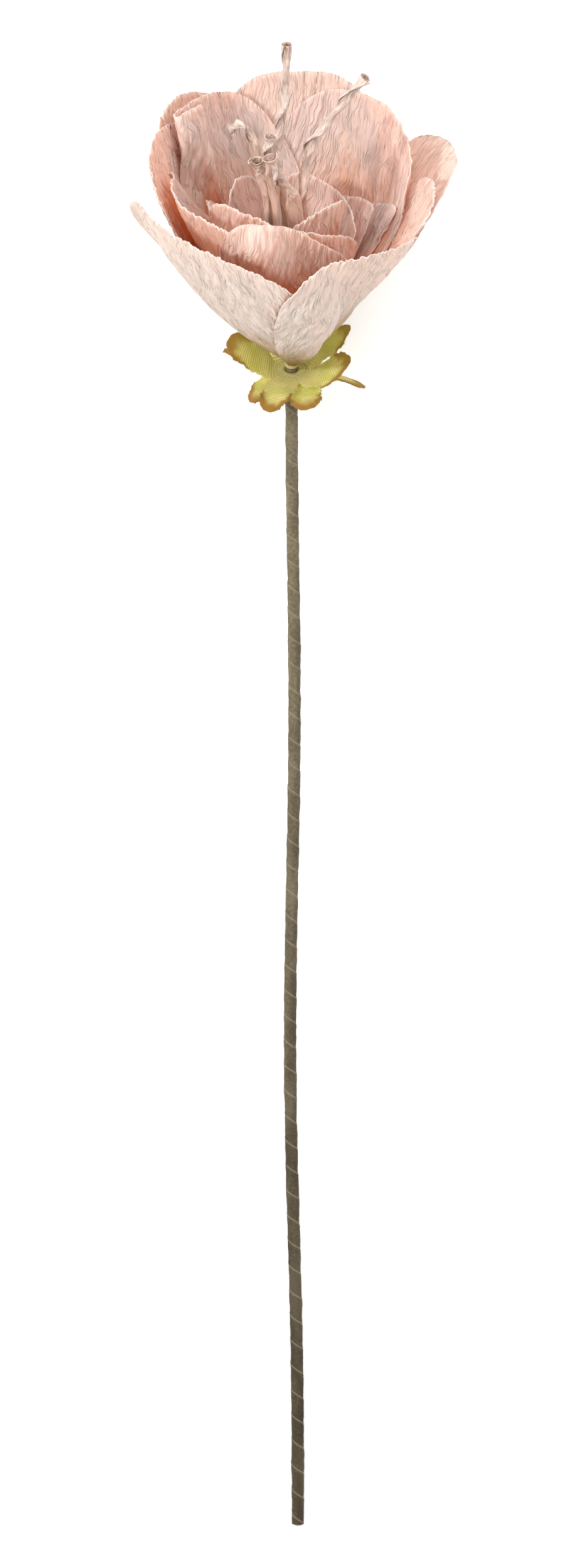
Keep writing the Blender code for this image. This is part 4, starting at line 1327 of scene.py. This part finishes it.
# %% The wound stem itself
line = bpy.data.meshes.new("wound_tape")
line.from_pydata(route.tolist(), [(index, index + 1) for index in range(len(route) - 1)], [])
wound_tape = link("wound_tape", line)
grow(wound_tape, tape_tree(), {"Tape": tape_finish(), "Seed": 4})
finished(plain(wound_tape), "stem_tape")

# %% [markdown]
# ## What stays as it is
# The wire and the paper core have their true form already. They only need a finish: drawn steel where the
# cut end of the wire shows, and wound paper soaked with olive brown glue at the core, of which a little can
# be seen between the flower's foot and the calyx.

# %% Wire and core
def wire_finish():
    """Drawn steel with fine scratches along the wire."""
    steel = Finish("drawn steel", roughness=0.45, metallic=1.0)
    x, y, z = steel.parts(steel.place())
    scratch = steel.noise(steel.vector(x / (0.15 * MM), y / (4 * MM), z / (0.15 * MM)), detail=3.0)
    steel.colour(steel.mix(scratch, (0.35, 0.34, 0.32), (0.55, 0.53, 0.5)))
    steel.bump(scratch, 0.05 * MM, 0.5)
    return steel.material


def core_finish():
    """Layers of glued paper."""
    paper = Finish("core paper", roughness=0.85)
    x, y, z = paper.parts(paper.place())
    layers = paper.noise(paper.vector(x / (3 * MM), y / (0.8 * MM), z / (3 * MM)), detail=3.0)
    paper.colour(paper.mix(layers, (0.46, 0.38, 0.18), (0.66, 0.56, 0.32)))
    paper.bump(layers, 0.2 * MM, 0.7)
    return paper.material


for node, finish in (("stem_wire", wire_finish()), ("bud_core", core_finish())):
    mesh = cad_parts[node].data
    if mesh.materials:
        mesh.materials[0] = finish
    else:
        mesh.materials.append(finish)
    print(node, "is finished as", finish.name)

# %% [markdown]
# ## The camera
# The photograph looks at the flower from a little above its rim, with the stem hanging straight down the
# picture. Lying down, the same view is from above, tipped slightly towards the head's end. A long lens
# keeps the perspective of a catalogue picture. It aims at a point well down the stem from the neck, which
# is the middle of the picture.

# %% Camera
PHOTO_HEIGHT_PIXELS = 2500
METRES_PER_PIXEL = 0.0002161
CAMERA_TIP = math.radians(12)
CAMERA_DISTANCE = 7.0
SENSOR = 36.0
AIM_RIGHT = -0.4 * MM
AIM_UP = -144.0 * MM

look = Vector((0, -math.sin(CAMERA_TIP), -math.cos(CAMERA_TIP)))
up = Vector((0, math.cos(CAMERA_TIP), -math.sin(CAMERA_TIP)))
right = look.cross(up)
target = Vector(NECK) + right * AIM_RIGHT + up * AIM_UP
camera_data = bpy.data.cameras.new("camera")
camera_data.sensor_width = SENSOR
camera_data.lens = SENSOR * CAMERA_DISTANCE / (PHOTO_HEIGHT_PIXELS * METRES_PER_PIXEL)
camera = link("camera", camera_data)
turned = Matrix((right, up, -look)).transposed().to_4x4()
camera.matrix_world = Matrix.Translation(target - look * CAMERA_DISTANCE) @ turned
bpy.context.scene.camera = camera
print("lens in mm:", round(camera_data.lens, 1))

# %% [markdown]
# ## Floor and light
# The rose lies on a plain pale floor. The floor's own colour is nearly white, and a little extra
# brightness that only the camera and mirrors see lifts it to paper white, while the rose's shadow stays.
# A small key lamp from the left grazes the crepe and draws its ridges. Two broad, weak lamps lighten the
# shade, one from the stem's end and one from beyond the rim that reaches into the cup. An even, slightly
# warm world does the rest.

# %% Floor
FLOOR_HALF = 4.0
FLOOR_GREY = 0.86
FLOOR_LIFT = 0.3

floor_mesh = sheet_mesh("floor", [np.array([
    [[-FLOOR_HALF, -FLOOR_HALF, 0.0], [FLOOR_HALF, -FLOOR_HALF, 0.0]],
    [[-FLOOR_HALF, FLOOR_HALF, 0.0], [FLOOR_HALF, FLOOR_HALF, 0.0]],
])])
floor = link("floor", floor_mesh)
floor_finish = Finish("pale floor", roughness=0.9)
floor_finish.shader.inputs["Base Color"].default_value = (FLOOR_GREY, FLOOR_GREY, FLOOR_GREY, 1.0)
rays = floor_finish.node("ShaderNodeLightPath")
ray = rays.socket.node.outputs
seen = Flow(floor_finish, ray["Is Camera Ray"]) + Flow(floor_finish, ray["Is Glossy Ray"])
seen = (seen + Flow(floor_finish, ray["Is Transmission Ray"])).limited()
lifted = floor_finish.mix(seen, (0.0, 0.0, 0.0), (FLOOR_LIFT, FLOOR_LIFT, FLOOR_LIFT))
floor_finish.feed(floor_finish.shader.inputs["Emission Color"], lifted)
floor_finish.shader.inputs["Emission Strength"].default_value = 1.0
floor_mesh.materials.append(floor_finish.material)
floor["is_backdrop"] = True
print("floor in m:", 2 * FLOOR_HALF, "square")

# %% Light
FLOWER_MIDDLE = Vector(NECK) + Vector(FLOWER_AXIS) * 50.0 * MM
STUDIO_COLOUR = (1.0, 0.975, 0.95)
STUDIO_STRENGTH = 0.95


def add_lamp(name, offset, size, power, colour):
    """A square lamp that stands off the flower by an offset and points at it."""
    data = bpy.data.lights.new(name, "AREA")
    data.size = size
    data.energy = power
    data.color = colour
    lamp = link(name, data)
    lamp.location = FLOWER_MIDDLE + Vector(offset)
    lamp.rotation_euler = (FLOWER_MIDDLE - lamp.location).to_track_quat("-Z", "Y").to_euler()
    return lamp


add_lamp("key", (-0.95, 0.35, 0.9), size=0.16, power=9.0, colour=(1.0, 0.98, 0.94))
add_lamp("fill", (0.5, -0.9, 1.3), size=1.2, power=4.0, colour=(1.0, 0.98, 0.95))
add_lamp("cup", (0.1, 1.1, 1.0), size=0.9, power=9.5, colour=(1.0, 0.97, 0.93))
world = bpy.data.worlds.new("studio")
world.use_nodes = True
background = world.node_tree.nodes["Background"]
background.inputs["Color"].default_value = (*STUDIO_COLOUR, 1.0)
background.inputs["Strength"].default_value = STUDIO_STRENGTH
bpy.context.scene.world = world
bpy.context.scene.view_settings.view_transform = "Standard"
print("lamps:", [lamp.name for lamp in bpy.data.lights])

# %% Write the sizes and finish
dressed_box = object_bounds()
for label, box in (("solids", cad_box), ("dressed", dressed_box)):
    print(label, "from", [round(v / MM, 1) for v in box[0]], "to", [round(v / MM, 1) for v in box[1]])
